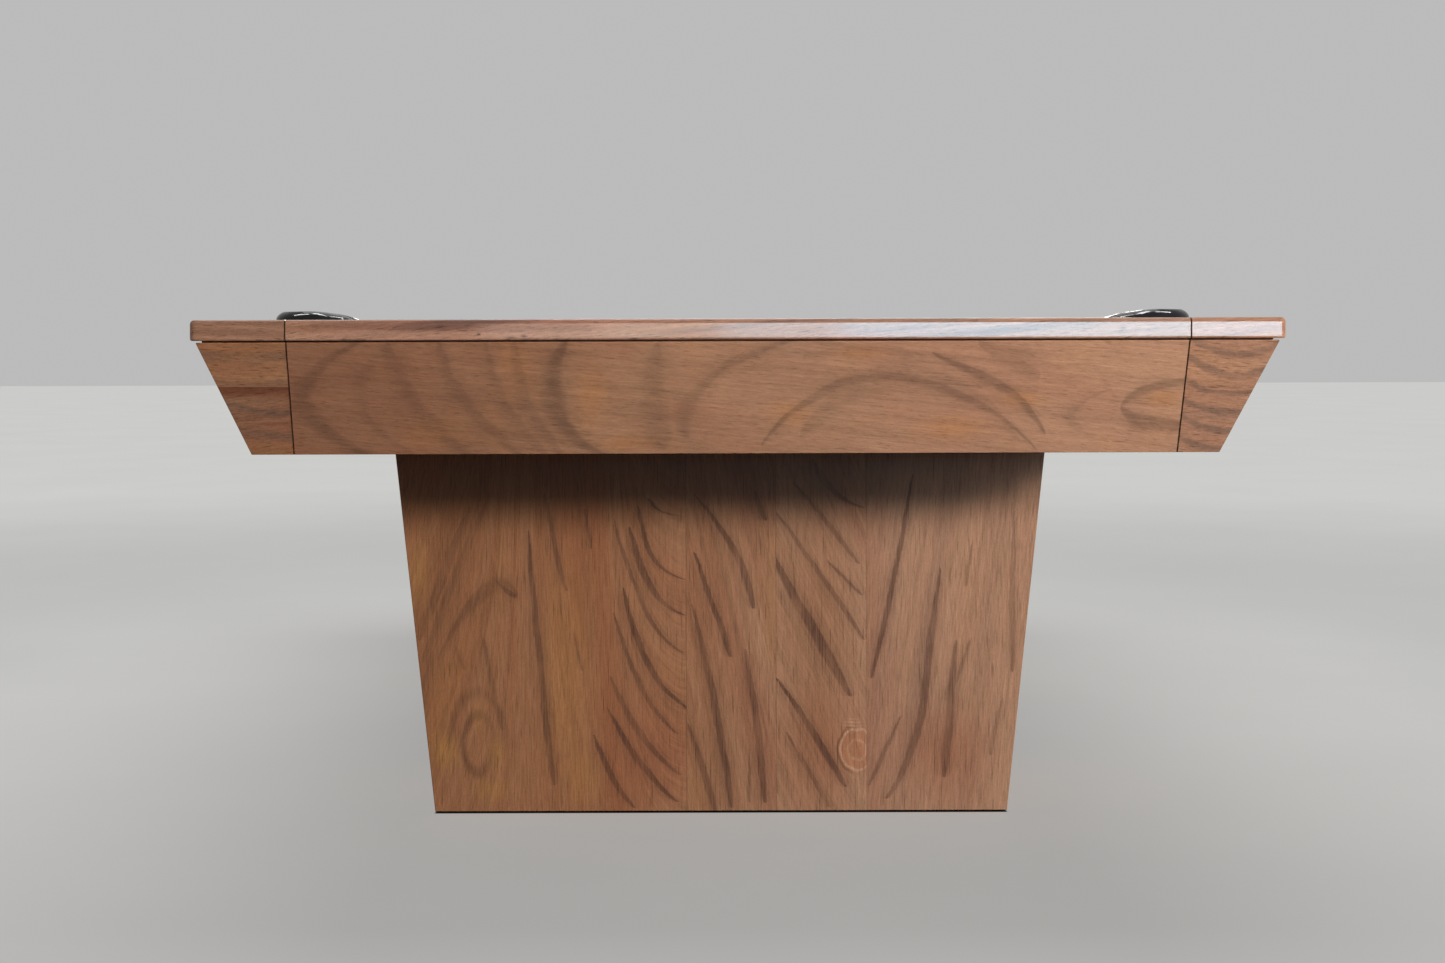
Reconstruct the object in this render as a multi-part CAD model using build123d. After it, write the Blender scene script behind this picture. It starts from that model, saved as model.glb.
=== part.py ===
"""A pool table with flared wooden aprons on two tapered box pedestals.

Millimetres. X runs across the table, Y along it, Z up. The origin is on the floor,
under the middle of the table. "front" is the -Y end, "left" is the -X side.
"""
from build123d import *
import math
import os

# ---------------------------------------------------------------- driving dimensions
# Playing surface and rails
TABLE_HEIGHT = 813.0          # floor to the top of the wooden rails
PLAYFIELD_WIDTH = 1118.0      # cushion nose to cushion nose, across
PLAYFIELD_LENGTH = 2235.0     # cushion nose to cushion nose, along
CAP_WIDTH = 148.8             # outer edge of the rail to the back of the cushion
CUSHION_WIDTH = 45.0          # back of the cushion to its nose
CAP_THICK = 28.7
CAP_ROUNDOVER = 6.0           # top outer edge
CAP_EASE = 3.0                # bottom outer edge
CAP_CORNER_RADIUS = 9.0       # outer corner of the table, seen from above
CORNER_CAP_LENGTH = 131.5     # outer corner to the seam of the corner caps and blocks
SEAM_GAP = 0.8                # open seam between neighbouring wooden pieces
SEAM_EASE = 0.7               # bevel along the show edges of the seams
BED_DEPTH = 43.0              # rail top down to the cloth on the bed

# Cushions
NOSE_HEIGHT = 36.0            # middle of the cushion nose above the bed cloth
NOSE_FLAT = 3.0
NOSE_ROLL = 4.5               # width of the bevel above the nose
NOSE_DROP = 2.0               # height of that bevel
BELLY_DEPTH = 14.0            # back of the cushion to where its underside turns up
BELLY_HEIGHT = 11.0           # height of that turn above the bed
HEEL_HEIGHT = 7.5             # lower back edge of the cushion above the bed
CLOTH_THICK = 1.0
STRIP_WIDTH = 4.0             # feather strip that pins the cushion cloth
STRIP_DEPTH = 7.0
CLOTH_TUCK = 6.0              # cloth beyond the back of the cushion, to the feather strip

# Slate bed
SLATE_THICK = 25.4
SLATE_TO_CUSHION = 45.0       # edge of the slate, under the rail, to the back of the cushion
SLATE_MIDDLE_LENGTH = 805.0   # the middle one of the three slates
BACKING_THICK = 19.0
BACKING_WIDTH = 78.0
BACKING_TO_POCKET = 19.0      # end of each backing strip to the slate's pocket notch

# Sub-rails, which sit on the bed cloth and carry the caps
SUB_RAIL_CLEARANCE = 8.0      # top of the apron to the outer face of the sub-rail
SUB_RAIL_TO_POCKET = 2.0      # end of the sub-rail to the round cut of the pocket

# Pockets
CORNER_POCKET_SHIFT = 6.0     # corner pocket centre inside the backs of the cushions
SIDE_POCKET_SHIFT = 22.0      # side pocket centre outside the back of the cushion
POCKET_CUT_RADIUS = 58.5      # round cut in the wooden caps
CORNER_MOUTH = 117.0          # between the cushion noses
SIDE_MOUTH = 136.0
CORNER_FACING_DEG = 142.0     # cushion end against the nose line
SIDE_FACING_DEG = 104.0
RIM_CLEARANCE = 0.5           # rim skirt to the wooden cut
RIM_WALL = 4.5
RIM_FLANK = 4.0               # foot of the rim's dome, beyond the cut
RIM_DOME_WIDTH = 14.0         # foot of the dome in to its crown
RIM_LIP_WIDTH = 3.5           # crown in to the lip over the pocket
RIM_TOE_WIDTH = 3.5           # thin toe on the wood, beyond the dome
RIM_TOE_THICK = 1.0
RIM_HEIGHT = 13.0             # rim above the rail top, round the back of the pocket
RIM_ARM_HEIGHT = 2.4          # rim above the rail top, at the ends of its arms
RIM_LEVEL_DEG = 40.0          # each side of the back, how far the rim stays at full height
RIM_FALL = 1.4                # how its arms drop beyond that: 1 is straight, more is rounder
LINER_WALL = 3.0
LINER_CLEARANCE = 1.5         # liner to the wooden cut
NOTCH_CLEARANCE = 0.5         # slate notch to the liner
LINER_DROP = 8.0              # bed cloth down to the lip of the liner at the mouth
LINER_DEPTH = 105.0           # bed cloth down to the bottom of the liner
LINER_FOOT_RADIUS = 50.0
LINER_ROUND = 9.0             # outer radius at the bottom of the liner
LINER_TO_APRON = 6.0

# Sights
SIGHT_RADIUS = 5.5
SIGHT_DEPTH = 2.0
SIGHT_TO_NOSE = 94.0

# Flared aprons
APRON_GAP = 2.3               # shadow gap under the rail caps
APRON_REBATE = 8.0            # depth of that gap, cut in the top edge of the apron
APRON_INSET = 7.3             # apron top set in from the rail edge
APRON_HEIGHT = 158.0          # below the shadow gap
APRON_LEAN_DEG = 22.17        # the aprons lean in towards the floor
APRON_THICK = 25.0
APRON_EASE = 1.2              # radius of the outer edges

# Frame under the slate
LONG_BEAM_X = 470.0           # middle of the table to the middle of each long beam
BEAM_THICK = 40.0
BEAM_HEIGHT = 103.0
END_BEAM_SETBACK = 238.0      # end of the table to the middle of the end beam
SEAM_BEAM_THICK = 60.0        # the beams under the slate joints
OUTRIGGER_THICK = 45.0
OUTRIGGER_HEIGHT = 70.0
OUTRIGGER_END_X = 150.0       # end outriggers, each side of the middle
OUTRIGGER_TO_POCKET = 156.5   # outer outriggers of the long sides to the corner pockets

# Pedestals
PEDESTAL_SETBACK = 553.0      # end of the table to the pedestal's outer face
PEDESTAL_DEPTH = 390.0
PEDESTAL_FOOT_WIDTH = 948.0   # at its lower edge
PEDESTAL_LEAN_DEG = 6.19      # the side panels widen upwards
PEDESTAL_WALL = 25.0
PEDESTAL_EASE = 1.5           # radius of the outer edges
PEDESTAL_PLATE = 24.0         # plate under the beams
FLOOR_GAP = 3.0               # lower edge of the panels above the floor

# Levelling feet
FOOT_PAD_RADIUS = 20.0
FOOT_PAD_THICK = 6.0
FOOT_HUB_FLATS = 17.0
FOOT_HUB_HEIGHT = 8.0
STUD_RADIUS = 5.0
STUD_LENGTH = 46.0
STUD_CLEARANCE = 0.05         # stud in its insert
FOOT_STOP_GAP = 0.3           # hub to the insert, screwed right in
INSERT_FLANGE_RADIUS = 12.0
INSERT_FLANGE_THICK = 2.0
INSERT_BARREL_RADIUS = 7.5
INSERT_LENGTH = 25.0
FOOT_RAIL_WIDTH = 60.0
FOOT_RAIL_HEIGHT = 40.0
FOOT_RAIL_INSET = 72.0        # pedestal's lower side edge to the middle of the foot rail
FOOT_INSET = 65.0             # pedestal face to the middle of the foot

# Fasteners
RAIL_BOLT_RADIUS = 5.0
RAIL_BOLT_TO_CUSHION = 21.0   # rail bolts to the back of the cushion
RAIL_BOLT_SPACING = 300.0
RAIL_BOLT_BITE = 12.0         # how far a rail bolt runs into the cap
BOLT_HEAD_FLATS = 16.0
BOLT_HEAD_HEIGHT = 6.4
BOLT_HOLE_CLEARANCE = 0.1
SLATE_HOLE_CLEARANCE = 2.0
WASHER_RADIUS = 15.0
WASHER_THICK = 3.0
BOLT_ACCESS_RADIUS = 18.0     # hole in the backing round a bolt head
PEDESTAL_BOLT_RADIUS = 5.0
PEDESTAL_BOLT_LENGTH = 84.0
PEDESTAL_BOLT_INSET = 60.0    # pedestal face to its bolts
DOWEL_RADIUS = 4.0
DOWEL_LENGTH = 50.0
DOWEL_CLEARANCE = 0.05

# ---------------------------------------------------------------- derived places
RAIL_WIDTH = CAP_WIDTH + CUSHION_WIDTH
CORNER_POCKET_INSET = CAP_WIDTH + CORNER_POCKET_SHIFT
SIDE_POCKET_INSET = CAP_WIDTH - SIDE_POCKET_SHIFT
RAIL_BOLT_INSET = CAP_WIDTH - RAIL_BOLT_TO_CUSHION
SLATE_INSET = CAP_WIDTH - SLATE_TO_CUSHION
SLATE_JOINT = SLATE_MIDDLE_LENGTH / 2
OUTER_X = PLAYFIELD_WIDTH / 2 + RAIL_WIDTH
OUTER_Y = PLAYFIELD_LENGTH / 2 + RAIL_WIDTH
SEAM_X = OUTER_X - CORNER_CAP_LENGTH
SEAM_Y = OUTER_Y - CORNER_CAP_LENGTH
CAP_TOP = TABLE_HEIGHT
CAP_BOTTOM = CAP_TOP - CAP_THICK
BED_TOP = CAP_TOP - BED_DEPTH
SLATE_TOP = BED_TOP - CLOTH_THICK
SLATE_BOTTOM = SLATE_TOP - SLATE_THICK
SLATE_X = OUTER_X - SLATE_INSET
SLATE_Y = OUTER_Y - SLATE_INSET
APRON_TOP = CAP_BOTTOM - APRON_GAP
APRON_BOTTOM = APRON_TOP - APRON_HEIGHT
APRON_TAN = math.tan(math.radians(APRON_LEAN_DEG))
APRON_LEVEL_THICK = APRON_THICK / math.cos(math.radians(APRON_LEAN_DEG))
SUB_RAIL_INSET = APRON_INSET + APRON_LEVEL_THICK + SUB_RAIL_CLEARANCE
BEAM_TOP = SLATE_BOTTOM
BEAM_BOTTOM = BEAM_TOP - BEAM_HEIGHT
END_BEAM_Y = OUTER_Y - END_BEAM_SETBACK
BACKING_BOTTOM = SLATE_BOTTOM - BACKING_THICK
OUTRIGGER_BOTTOM = BACKING_BOTTOM - OUTRIGGER_HEIGHT
OUTRIGGER_SIDE_Y = OUTER_Y - CORNER_POCKET_INSET - OUTRIGGER_TO_POCKET
PEDESTAL_OUTER_Y = OUTER_Y - PEDESTAL_SETBACK
PEDESTAL_INNER_Y = PEDESTAL_OUTER_Y - PEDESTAL_DEPTH
PEDESTAL_TAN = math.tan(math.radians(PEDESTAL_LEAN_DEG))
PEDESTAL_LEVEL_WALL = PEDESTAL_WALL / math.cos(math.radians(PEDESTAL_LEAN_DEG))
HUB_TOP = FOOT_PAD_THICK + FOOT_HUB_HEIGHT
INSERT_BOTTOM = HUB_TOP + FOOT_STOP_GAP
FOOT_RAIL_BOTTOM = INSERT_BOTTOM + INSERT_FLANGE_THICK
FOOT_X = PEDESTAL_FOOT_WIDTH / 2 - FOOT_RAIL_INSET
RIM_SKIRT_RADIUS = POCKET_CUT_RADIUS - RIM_CLEARANCE
RIM_INNER_RADIUS = RIM_SKIRT_RADIUS - RIM_WALL
RIM_OUTER_RADIUS = POCKET_CUT_RADIUS + RIM_FLANK
RIM_TOE_RADIUS = RIM_OUTER_RADIUS + RIM_TOE_WIDTH
RIM_CROWN_RADIUS = RIM_OUTER_RADIUS - RIM_DOME_WIDTH
RIM_LIP_RADIUS = RIM_CROWN_RADIUS - RIM_LIP_WIDTH
LINER_RADIUS = POCKET_CUT_RADIUS - LINER_CLEARANCE
NOTCH_RADIUS = LINER_RADIUS + NOTCH_CLEARANCE
SIGHT_INSET = RAIL_WIDTH - SIGHT_TO_NOSE
SIGHT_STEP_X = PLAYFIELD_WIDTH / 4
SIGHT_STEP_Y = PLAYFIELD_LENGTH / 8
SIDE_RAIL_MIDDLE = PLAYFIELD_LENGTH / 4

ENDS = {"front": -1, "back": 1}
SIDES = {"left": -1, "right": 1}


# ---------------------------------------------------------------- building blocks
def block(x0, x1, y0, y1, z0, z1):
    """An upright box between two corners, given in any order."""
    size = (abs(x1 - x0), abs(y1 - y0), abs(z1 - z0))
    return Pos((x0 + x1) / 2, (y0 + y1) / 2, (z0 + z1) / 2) * Box(*size)


def rod(radius, x, y, z0, z1):
    """An upright round bar."""
    return Pos(x, y, (z0 + z1) / 2) * Cylinder(radius, abs(z1 - z0))


def hex_bar(flats, x, y, z0, z1):
    """An upright hexagonal bar, as a bolt head or a nut."""
    outline = RegularPolygon(flats / 2, 6, major_radius=False)
    return Pos(x, y, z0) * extrude(outline, z1 - z0)


def outline_face(points):
    return make_face(Polyline(*points, close=True))


def along_x(face, x0, x1):
    """Sweeps a face drawn as (y, z) from x0 to x1."""
    return extrude(Plane.YZ.offset(x0) * face, x1 - x0)


def plan(points, z0, z1):
    """Raises an outline drawn as (x, y) from z0 to z1."""
    return extrude(Pos(0, 0, z0) * outline_face(points), z1 - z0)


def between(outer, inner):
    """A flat-faced board whose two broad faces are the given four-cornered outlines."""
    return loft([outline_face(outer), outline_face(inner)], ruled=True)


def mirrored(shape, side_x, side_y):
    """Carries a shape made for the left and the front to another side or end."""
    if side_x > 0:
        shape = mirror(shape, about=Plane.YZ)
    if side_y > 0:
        shape = mirror(shape, about=Plane.XZ)
    return shape


def four_corners(shape):
    return [mirrored(shape, x, y) for x in (-1, 1) for y in (-1, 1)]


def both_ends(shape):
    return [mirrored(shape, -1, y) for y in (-1, 1)]


def both_sides(shape):
    return [mirrored(shape, x, -1) for x in (-1, 1)]


def save(name, solids):
    """Writes one node: a single solid, or a group of separate ones."""
    if isinstance(solids, list):
        flat = [s for shape in solids for s in shape.solids()]
        solids = Compound(children=flat)
    else:
        solids = solids.solids()[0] if len(solids.solids()) == 1 else solids
    solids.label = name
    export_step(solids, os.path.join("parts", name + ".step"))


# ---------------------------------------------------------------- pockets in the wood
CORNER_CENTRE = (CORNER_POCKET_INSET - OUTER_X, CORNER_POCKET_INSET - OUTER_Y)
SIDE_CENTRE = (SIDE_POCKET_INSET - OUTER_X, 0.0)


def pocket_holes(radius, z0, z1):
    """Upright cylinders at the corner pockets and side pockets."""
    x, y = CORNER_CENTRE
    holes = four_corners(rod(radius, x, y, z0, z1))
    holes += both_sides(rod(radius, SIDE_CENTRE[0], 0.0, z0, z1))
    return holes


def cut_pockets(shape, z0=CAP_BOTTOM - BED_DEPTH, z1=CAP_TOP + BED_DEPTH):
    for hole in pocket_holes(POCKET_CUT_RADIUS, z0, z1):
        shape -= hole
    return shape


# ---------------------------------------------------------------- rails
def cap_section():
    """Section of a wooden rail cap: (distance in from the outer edge, height)."""
    r = CAP_ROUNDOVER
    e = CAP_EASE
    ledge = CAP_TOP - CLOTH_THICK
    tuck = CAP_WIDTH - CLOTH_TUCK
    groove = tuck + STRIP_WIDTH
    mid = 1 - math.sqrt(0.5)
    corners = [
        (e, CAP_BOTTOM), (CAP_WIDTH, CAP_BOTTOM), (CAP_WIDTH, ledge), (groove, ledge),
        (groove, ledge - STRIP_DEPTH), (tuck, ledge - STRIP_DEPTH), (tuck, CAP_TOP), (r, CAP_TOP),
    ]
    edges = [Polyline(*corners)]
    edges.append(ThreePointArc((r, CAP_TOP), (r * mid, CAP_TOP - r * mid), (0, CAP_TOP - r)))
    edges.append(Line((0, CAP_TOP - r), (0, CAP_BOTTOM + e)))
    edges.append(ThreePointArc((0, CAP_BOTTOM + e), (e * mid, CAP_BOTTOM + e * mid), (e, CAP_BOTTOM)))
    return make_face(edges)


def end_run(face, x0, x1):
    """Sweeps a rail section, drawn from the outer edge inwards, along the front end."""
    return along_x(Pos(-OUTER_Y, 0) * face, x0, x1)


def side_run(face, y0, y1):
    """Sweeps a rail section along the left side."""
    run = along_x(Pos(-OUTER_X, 0) * face, y0, y1)
    return mirror(run, about=Plane((0, 0, 0), z_dir=(1, -1, 0)))


def bolt_places():
    """Rail bolts of the front end and of the front half of the left side."""
    end = [(step * RAIL_BOLT_SPACING, RAIL_BOLT_INSET - OUTER_Y) for step in (-1, 0, 1)]
    side_y = [step * RAIL_BOLT_SPACING - SIDE_RAIL_MIDDLE for step in (-1, 0, 1)]
    side = [(RAIL_BOLT_INSET - OUTER_X, y) for y in side_y]
    return end, side


def drill(shape, places, radius, z0, z1):
    for x, y in places:
        shape -= rod(radius, x, y, z0, z1)
    return shape


def sight_places():
    """Three sights on the front end and three on the front half of the left side."""
    end = [(step * SIGHT_STEP_X, SIGHT_INSET - OUTER_Y) for step in (-1, 0, 1)]
    side = [(SIGHT_INSET - OUTER_X, -step * SIGHT_STEP_Y) for step in (1, 2, 3)]
    return end, side


DOWEL_INSETS = (CORNER_CAP_LENGTH / 4, CORNER_CAP_LENGTH / 2)
CAP_DOWEL_Z = (CAP_TOP + CAP_BOTTOM) / 2


def dowel(length_axis, x, y, z, radius=DOWEL_RADIUS, length=DOWEL_LENGTH):
    """A dowel lying along X or Y, with its middle at the given place."""
    turn = Rot(0, 90, 0) if length_axis == "x" else Rot(90, 0, 0)
    return Pos(x, y, z) * turn * Cylinder(radius, length)


def cap_dowels(radius=DOWEL_RADIUS, spare=0.0):
    """Dowels of the front left corner cap, and of the side seam at mid-length."""
    length = DOWEL_LENGTH + 2 * spare
    rods = []
    for inset in DOWEL_INSETS:
        rods.append(dowel("x", -SEAM_X, inset - OUTER_Y, CAP_DOWEL_Z, radius, length))
        rods.append(dowel("y", inset - OUTER_X, -SEAM_Y, CAP_DOWEL_Z, radius, length))
    return rods


def side_seam_dowel(radius=DOWEL_RADIUS, spare=0.0):
    inset = (SIDE_POCKET_INSET - POCKET_CUT_RADIUS) / 2
    length = DOWEL_LENGTH + 2 * spare
    return dowel("y", inset - OUTER_X, 0.0, CAP_DOWEL_Z, radius, length)


def bore_dowels(shape):
    radius = DOWEL_RADIUS + DOWEL_CLEARANCE
    for rods in cap_dowels(radius, DOWEL_CLEARANCE):
        for hole in four_corners(rods):
            shape -= hole
    for hole in both_sides(side_seam_dowel(radius, DOWEL_CLEARANCE)):
        shape -= hole
    return shape


def ease_seams(cap, axis):
    """Bevels the show edges at both ends of a rail cap that runs along the given axis."""
    across = Axis.Y if axis == Axis.X else Axis.X
    edges = []
    for face in (cap.faces().sort_by(axis)[0], cap.faces().sort_by(axis)[-1]):
        around = face.edges().sort_by(across)
        top = [e for e in face.edges().sort_by(Axis.Z)[-1:]]
        edges += around[:3] + [e for e in top if all((e.center() - o.center()).length for o in around[:3])]
    return chamfer(edges, SEAM_EASE)


def end_cap():
    cap = end_run(cap_section(), SEAM_GAP / 2 - SEAM_X, SEAM_X - SEAM_GAP / 2)
    cap = ease_seams(cap, Axis.X)
    end_bolts = bolt_places()[0]
    end_sights = sight_places()[0]
    cap = cut_pockets(cap)
    bolt_hole = RAIL_BOLT_RADIUS + BOLT_HOLE_CLEARANCE
    cap = drill(cap, end_bolts, bolt_hole, CAP_BOTTOM, CAP_BOTTOM + RAIL_BOLT_BITE)
    cap = drill(cap, end_sights, SIGHT_RADIUS, CAP_TOP - SIGHT_DEPTH, CAP_TOP)
    return bore_dowels(cap)


def side_cap():
    """Cap of the front half of the left side."""
    cap = side_run(cap_section(), SEAM_GAP / 2 - SEAM_Y, -SEAM_GAP / 2)
    cap = ease_seams(cap, Axis.Y)
    side_bolts = bolt_places()[1]
    side_sights = sight_places()[1]
    cap = cut_pockets(cap)
    bolt_hole = RAIL_BOLT_RADIUS + BOLT_HOLE_CLEARANCE
    cap = drill(cap, side_bolts, bolt_hole, CAP_BOTTOM, CAP_BOTTOM + RAIL_BOLT_BITE)
    cap = drill(cap, side_sights, SIGHT_RADIUS, CAP_TOP - SIGHT_DEPTH, CAP_TOP)
    return bore_dowels(cap)


def corner_cap():
    """Wooden cap that closes the front left corner behind the pocket."""
    inner_x = -SEAM_X - SEAM_GAP / 2
    inner_y = -SEAM_Y - SEAM_GAP / 2
    cap = block(-OUTER_X, inner_x, -OUTER_Y, inner_y, CAP_BOTTOM, CAP_TOP)
    upright = cap.edges().filter_by(Axis.Z).sort_by(Axis.X)[:2].sort_by(Axis.Y)[0]
    cap = fillet(upright, CAP_CORNER_RADIUS)
    for face, radius in ((cap.faces().sort_by(Axis.Z)[-1], CAP_ROUNDOVER),
                         (cap.faces().sort_by(Axis.Z)[0], CAP_EASE)):
        outer = [e for e in face.edges() if e.center().X < inner_x - 1 and e.center().Y < inner_y - 1]
        level = face.center().Z
        edges = [e for e in cap.edges() if any((e.center() - o.center()).length < 0.01 for o in outer)]
        edges = [e for e in edges if abs(e.center().Z - level) < 0.01]
        cap = fillet(edges, radius)
    inner_edges = []
    for axis, place in ((Axis.X, inner_x), (Axis.Y, inner_y)):
        face = cap.faces().sort_by(axis)[-1]
        inner_edges += [e for e in face.edges() if e.center().X < inner_x - SEAM_EASE
                        or e.center().Y < inner_y - SEAM_EASE]
    cap = chamfer(inner_edges, SEAM_EASE)
    cap = cut_pockets(cap)
    return bore_dowels(cap)


def sub_rail_end():
    end = -CORNER_CENTRE[0] - POCKET_CUT_RADIUS - SUB_RAIL_TO_POCKET
    rail = block(-end, end, SUB_RAIL_INSET - OUTER_Y, CAP_WIDTH - OUTER_Y, BED_TOP, CAP_BOTTOM)
    return drill(rail, bolt_places()[0], RAIL_BOLT_RADIUS + BOLT_HOLE_CLEARANCE, BED_TOP, CAP_BOTTOM)


def sub_rail_side():
    clear = POCKET_CUT_RADIUS + SUB_RAIL_TO_POCKET
    rail = block(SUB_RAIL_INSET - OUTER_X, CAP_WIDTH - OUTER_X, CORNER_CENTRE[1] + clear, -clear,
                 BED_TOP, CAP_BOTTOM)
    return drill(rail, bolt_places()[1], RAIL_BOLT_RADIUS + BOLT_HOLE_CLEARANCE, BED_TOP, CAP_BOTTOM)


# ---------------------------------------------------------------- cushions
def cushion_outline(skin):
    """Section of the cushion, drawn `skin` inside the face of its cloth."""
    nose = RAIL_WIDTH - skin
    nose_z = BED_TOP + NOSE_HEIGHT
    flat = NOSE_FLAT / 2
    top = CAP_TOP - skin
    roll = nose_z + flat + NOSE_DROP - skin / 2
    belly = BED_TOP + BELLY_HEIGHT + skin
    heel = BED_TOP + HEEL_HEIGHT + skin
    return [
        (CAP_WIDTH, top), (nose - NOSE_ROLL, roll), (nose, nose_z + flat - skin / 2),
        (nose, nose_z - flat + skin / 2), (CAP_WIDTH + BELLY_DEPTH, belly), (CAP_WIDTH, heel),
    ]


def cloth_outline():
    """Outer face of the cushion cloth, with its tuck at the feather strip and its foot."""
    body = cushion_outline(0.0)
    tuck = CAP_WIDTH - CLOTH_TUCK
    ledge = CAP_TOP - CLOTH_THICK
    foot = CAP_WIDTH + CLOTH_THICK
    start = [(CAP_WIDTH, ledge), (tuck, ledge), (tuck, CAP_TOP)]
    end = [(foot, BED_TOP + HEEL_HEIGHT), (foot, BED_TOP), (CAP_WIDTH, BED_TOP)]
    return start + body[:-1] + end


def end_cushion_plan(skin, back):
    """Plan of the front cushion between its angled ends, out to `back` from the edge."""
    cot = 1 / math.tan(math.radians(180 - CORNER_FACING_DEG))
    slack = skin / math.sin(math.radians(180 - CORNER_FACING_DEG))
    tip = OUTER_X - RAIL_WIDTH - CORNER_MOUTH / math.sqrt(2) - slack
    wide = tip + (RAIL_WIDTH - back) * cot
    return [
        (-tip, RAIL_WIDTH - OUTER_Y), (tip, RAIL_WIDTH - OUTER_Y),
        (wide, back - OUTER_Y), (-wide, back - OUTER_Y),
    ]


def side_cushion_plan(skin, back):
    """Plan of the cushion on the front half of the left side."""
    corner_cot = 1 / math.tan(math.radians(180 - CORNER_FACING_DEG))
    corner_slack = skin / math.sin(math.radians(180 - CORNER_FACING_DEG))
    middle_cot = 1 / math.tan(math.radians(180 - SIDE_FACING_DEG))
    middle_slack = skin / math.sin(math.radians(180 - SIDE_FACING_DEG))
    depth = RAIL_WIDTH - back
    corner_tip = RAIL_WIDTH + CORNER_MOUTH / math.sqrt(2) - OUTER_Y + corner_slack
    middle_tip = -SIDE_MOUTH / 2 - middle_slack
    return [
        (RAIL_WIDTH - OUTER_X, corner_tip), (RAIL_WIDTH - OUTER_X, middle_tip),
        (back - OUTER_X, middle_tip + depth * middle_cot),
        (back - OUTER_X, corner_tip - depth * corner_cot),
    ]


def rubber(run, plan_points):
    body = run(outline_face(cushion_outline(CLOTH_THICK)), -OUTER_Y, OUTER_Y)
    body &= plan(plan_points, BED_TOP, CAP_TOP)
    return cut_pockets(body)


def cloth(run, plan_points, rubber_body, strip):
    skin = run(outline_face(cloth_outline()), -OUTER_Y, OUTER_Y)
    skin &= plan(plan_points, BED_TOP, CAP_TOP)
    return cut_pockets(skin) - rubber_body - strip


def feather_strip(run, plan_points):
    ledge = CAP_TOP - CLOTH_THICK
    tuck = CAP_WIDTH - CLOTH_TUCK
    face = outline_face([
        (tuck, ledge - STRIP_DEPTH), (tuck + STRIP_WIDTH, ledge - STRIP_DEPTH),
        (tuck + STRIP_WIDTH, ledge), (tuck, ledge),
    ])
    strip = run(face, -OUTER_Y, OUTER_Y) & plan(plan_points, BED_TOP, CAP_TOP)
    return cut_pockets(strip)


# ---------------------------------------------------------------- pocket rims and liners
def sector(centre, back_deg, half_sweep, r_in, r_out, z0, z1):
    """Part of an upright tube, centred on the back of the pocket."""
    start = back_deg - half_sweep
    sweep = 2 * half_sweep
    outer = CenterArc(centre, r_out, start, sweep)
    inner = CenterArc(centre, r_in, start, sweep)
    face = make_face([outer, Line(outer @ 1, inner @ 1), inner, Line(inner @ 0, outer @ 0)])
    return extrude(Pos(0, 0, z0) * face, z1 - z0)


def rim_section(height):
    """Section of a pocket rim: (radius, height). A skirt, a dome, a lip and a toe on the wood."""
    toe = CAP_TOP + RIM_TOE_THICK
    lip = CAP_TOP + height / 2
    dome = Spline(
        (RIM_OUTER_RADIUS, toe), (RIM_OUTER_RADIUS - RIM_DOME_WIDTH * 0.3, CAP_TOP + height * 0.72),
        (RIM_CROWN_RADIUS, CAP_TOP + height), (RIM_LIP_RADIUS, lip),
    )
    straight = Polyline(
        (RIM_LIP_RADIUS, lip), (RIM_LIP_RADIUS, CAP_TOP), (RIM_INNER_RADIUS, CAP_TOP - RIM_LIP_WIDTH),
        (RIM_INNER_RADIUS, CAP_BOTTOM), (RIM_SKIRT_RADIUS, CAP_BOTTOM), (RIM_SKIRT_RADIUS, CAP_TOP),
        (RIM_TOE_RADIUS, CAP_TOP), (RIM_TOE_RADIUS, toe), (RIM_OUTER_RADIUS, toe),
    )
    return make_face([dome, straight])


def rim_height(turn, half_sweep):
    """Full height round the back of the pocket, easing down along the arms."""
    part = (abs(turn) - RIM_LEVEL_DEG) / (half_sweep - RIM_LEVEL_DEG)
    part = min(max(part, 0.0), 1.0)
    return RIM_HEIGHT - (RIM_HEIGHT - RIM_ARM_HEIGHT) * part ** RIM_FALL


def rim(centre, back_deg, half_sweep, steps=12):
    faces = []
    for step in range(steps + 1):
        turn = half_sweep * (2 * step / steps - 1)
        ray = math.radians(back_deg + turn)
        place = Plane((centre[0], centre[1], 0), x_dir=(math.cos(ray), math.sin(ray), 0),
                      z_dir=(math.sin(ray), -math.cos(ray), 0))
        faces.append(place * rim_section(rim_height(turn, half_sweep)))
    return loft(faces)


CORNER_HALF_SWEEP = 135 - math.degrees(math.asin(CORNER_POCKET_SHIFT / RIM_OUTER_RADIUS))
SIDE_HALF_SWEEP = 180 - math.degrees(math.acos(SIDE_POCKET_SHIFT / RIM_OUTER_RADIUS))


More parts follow.
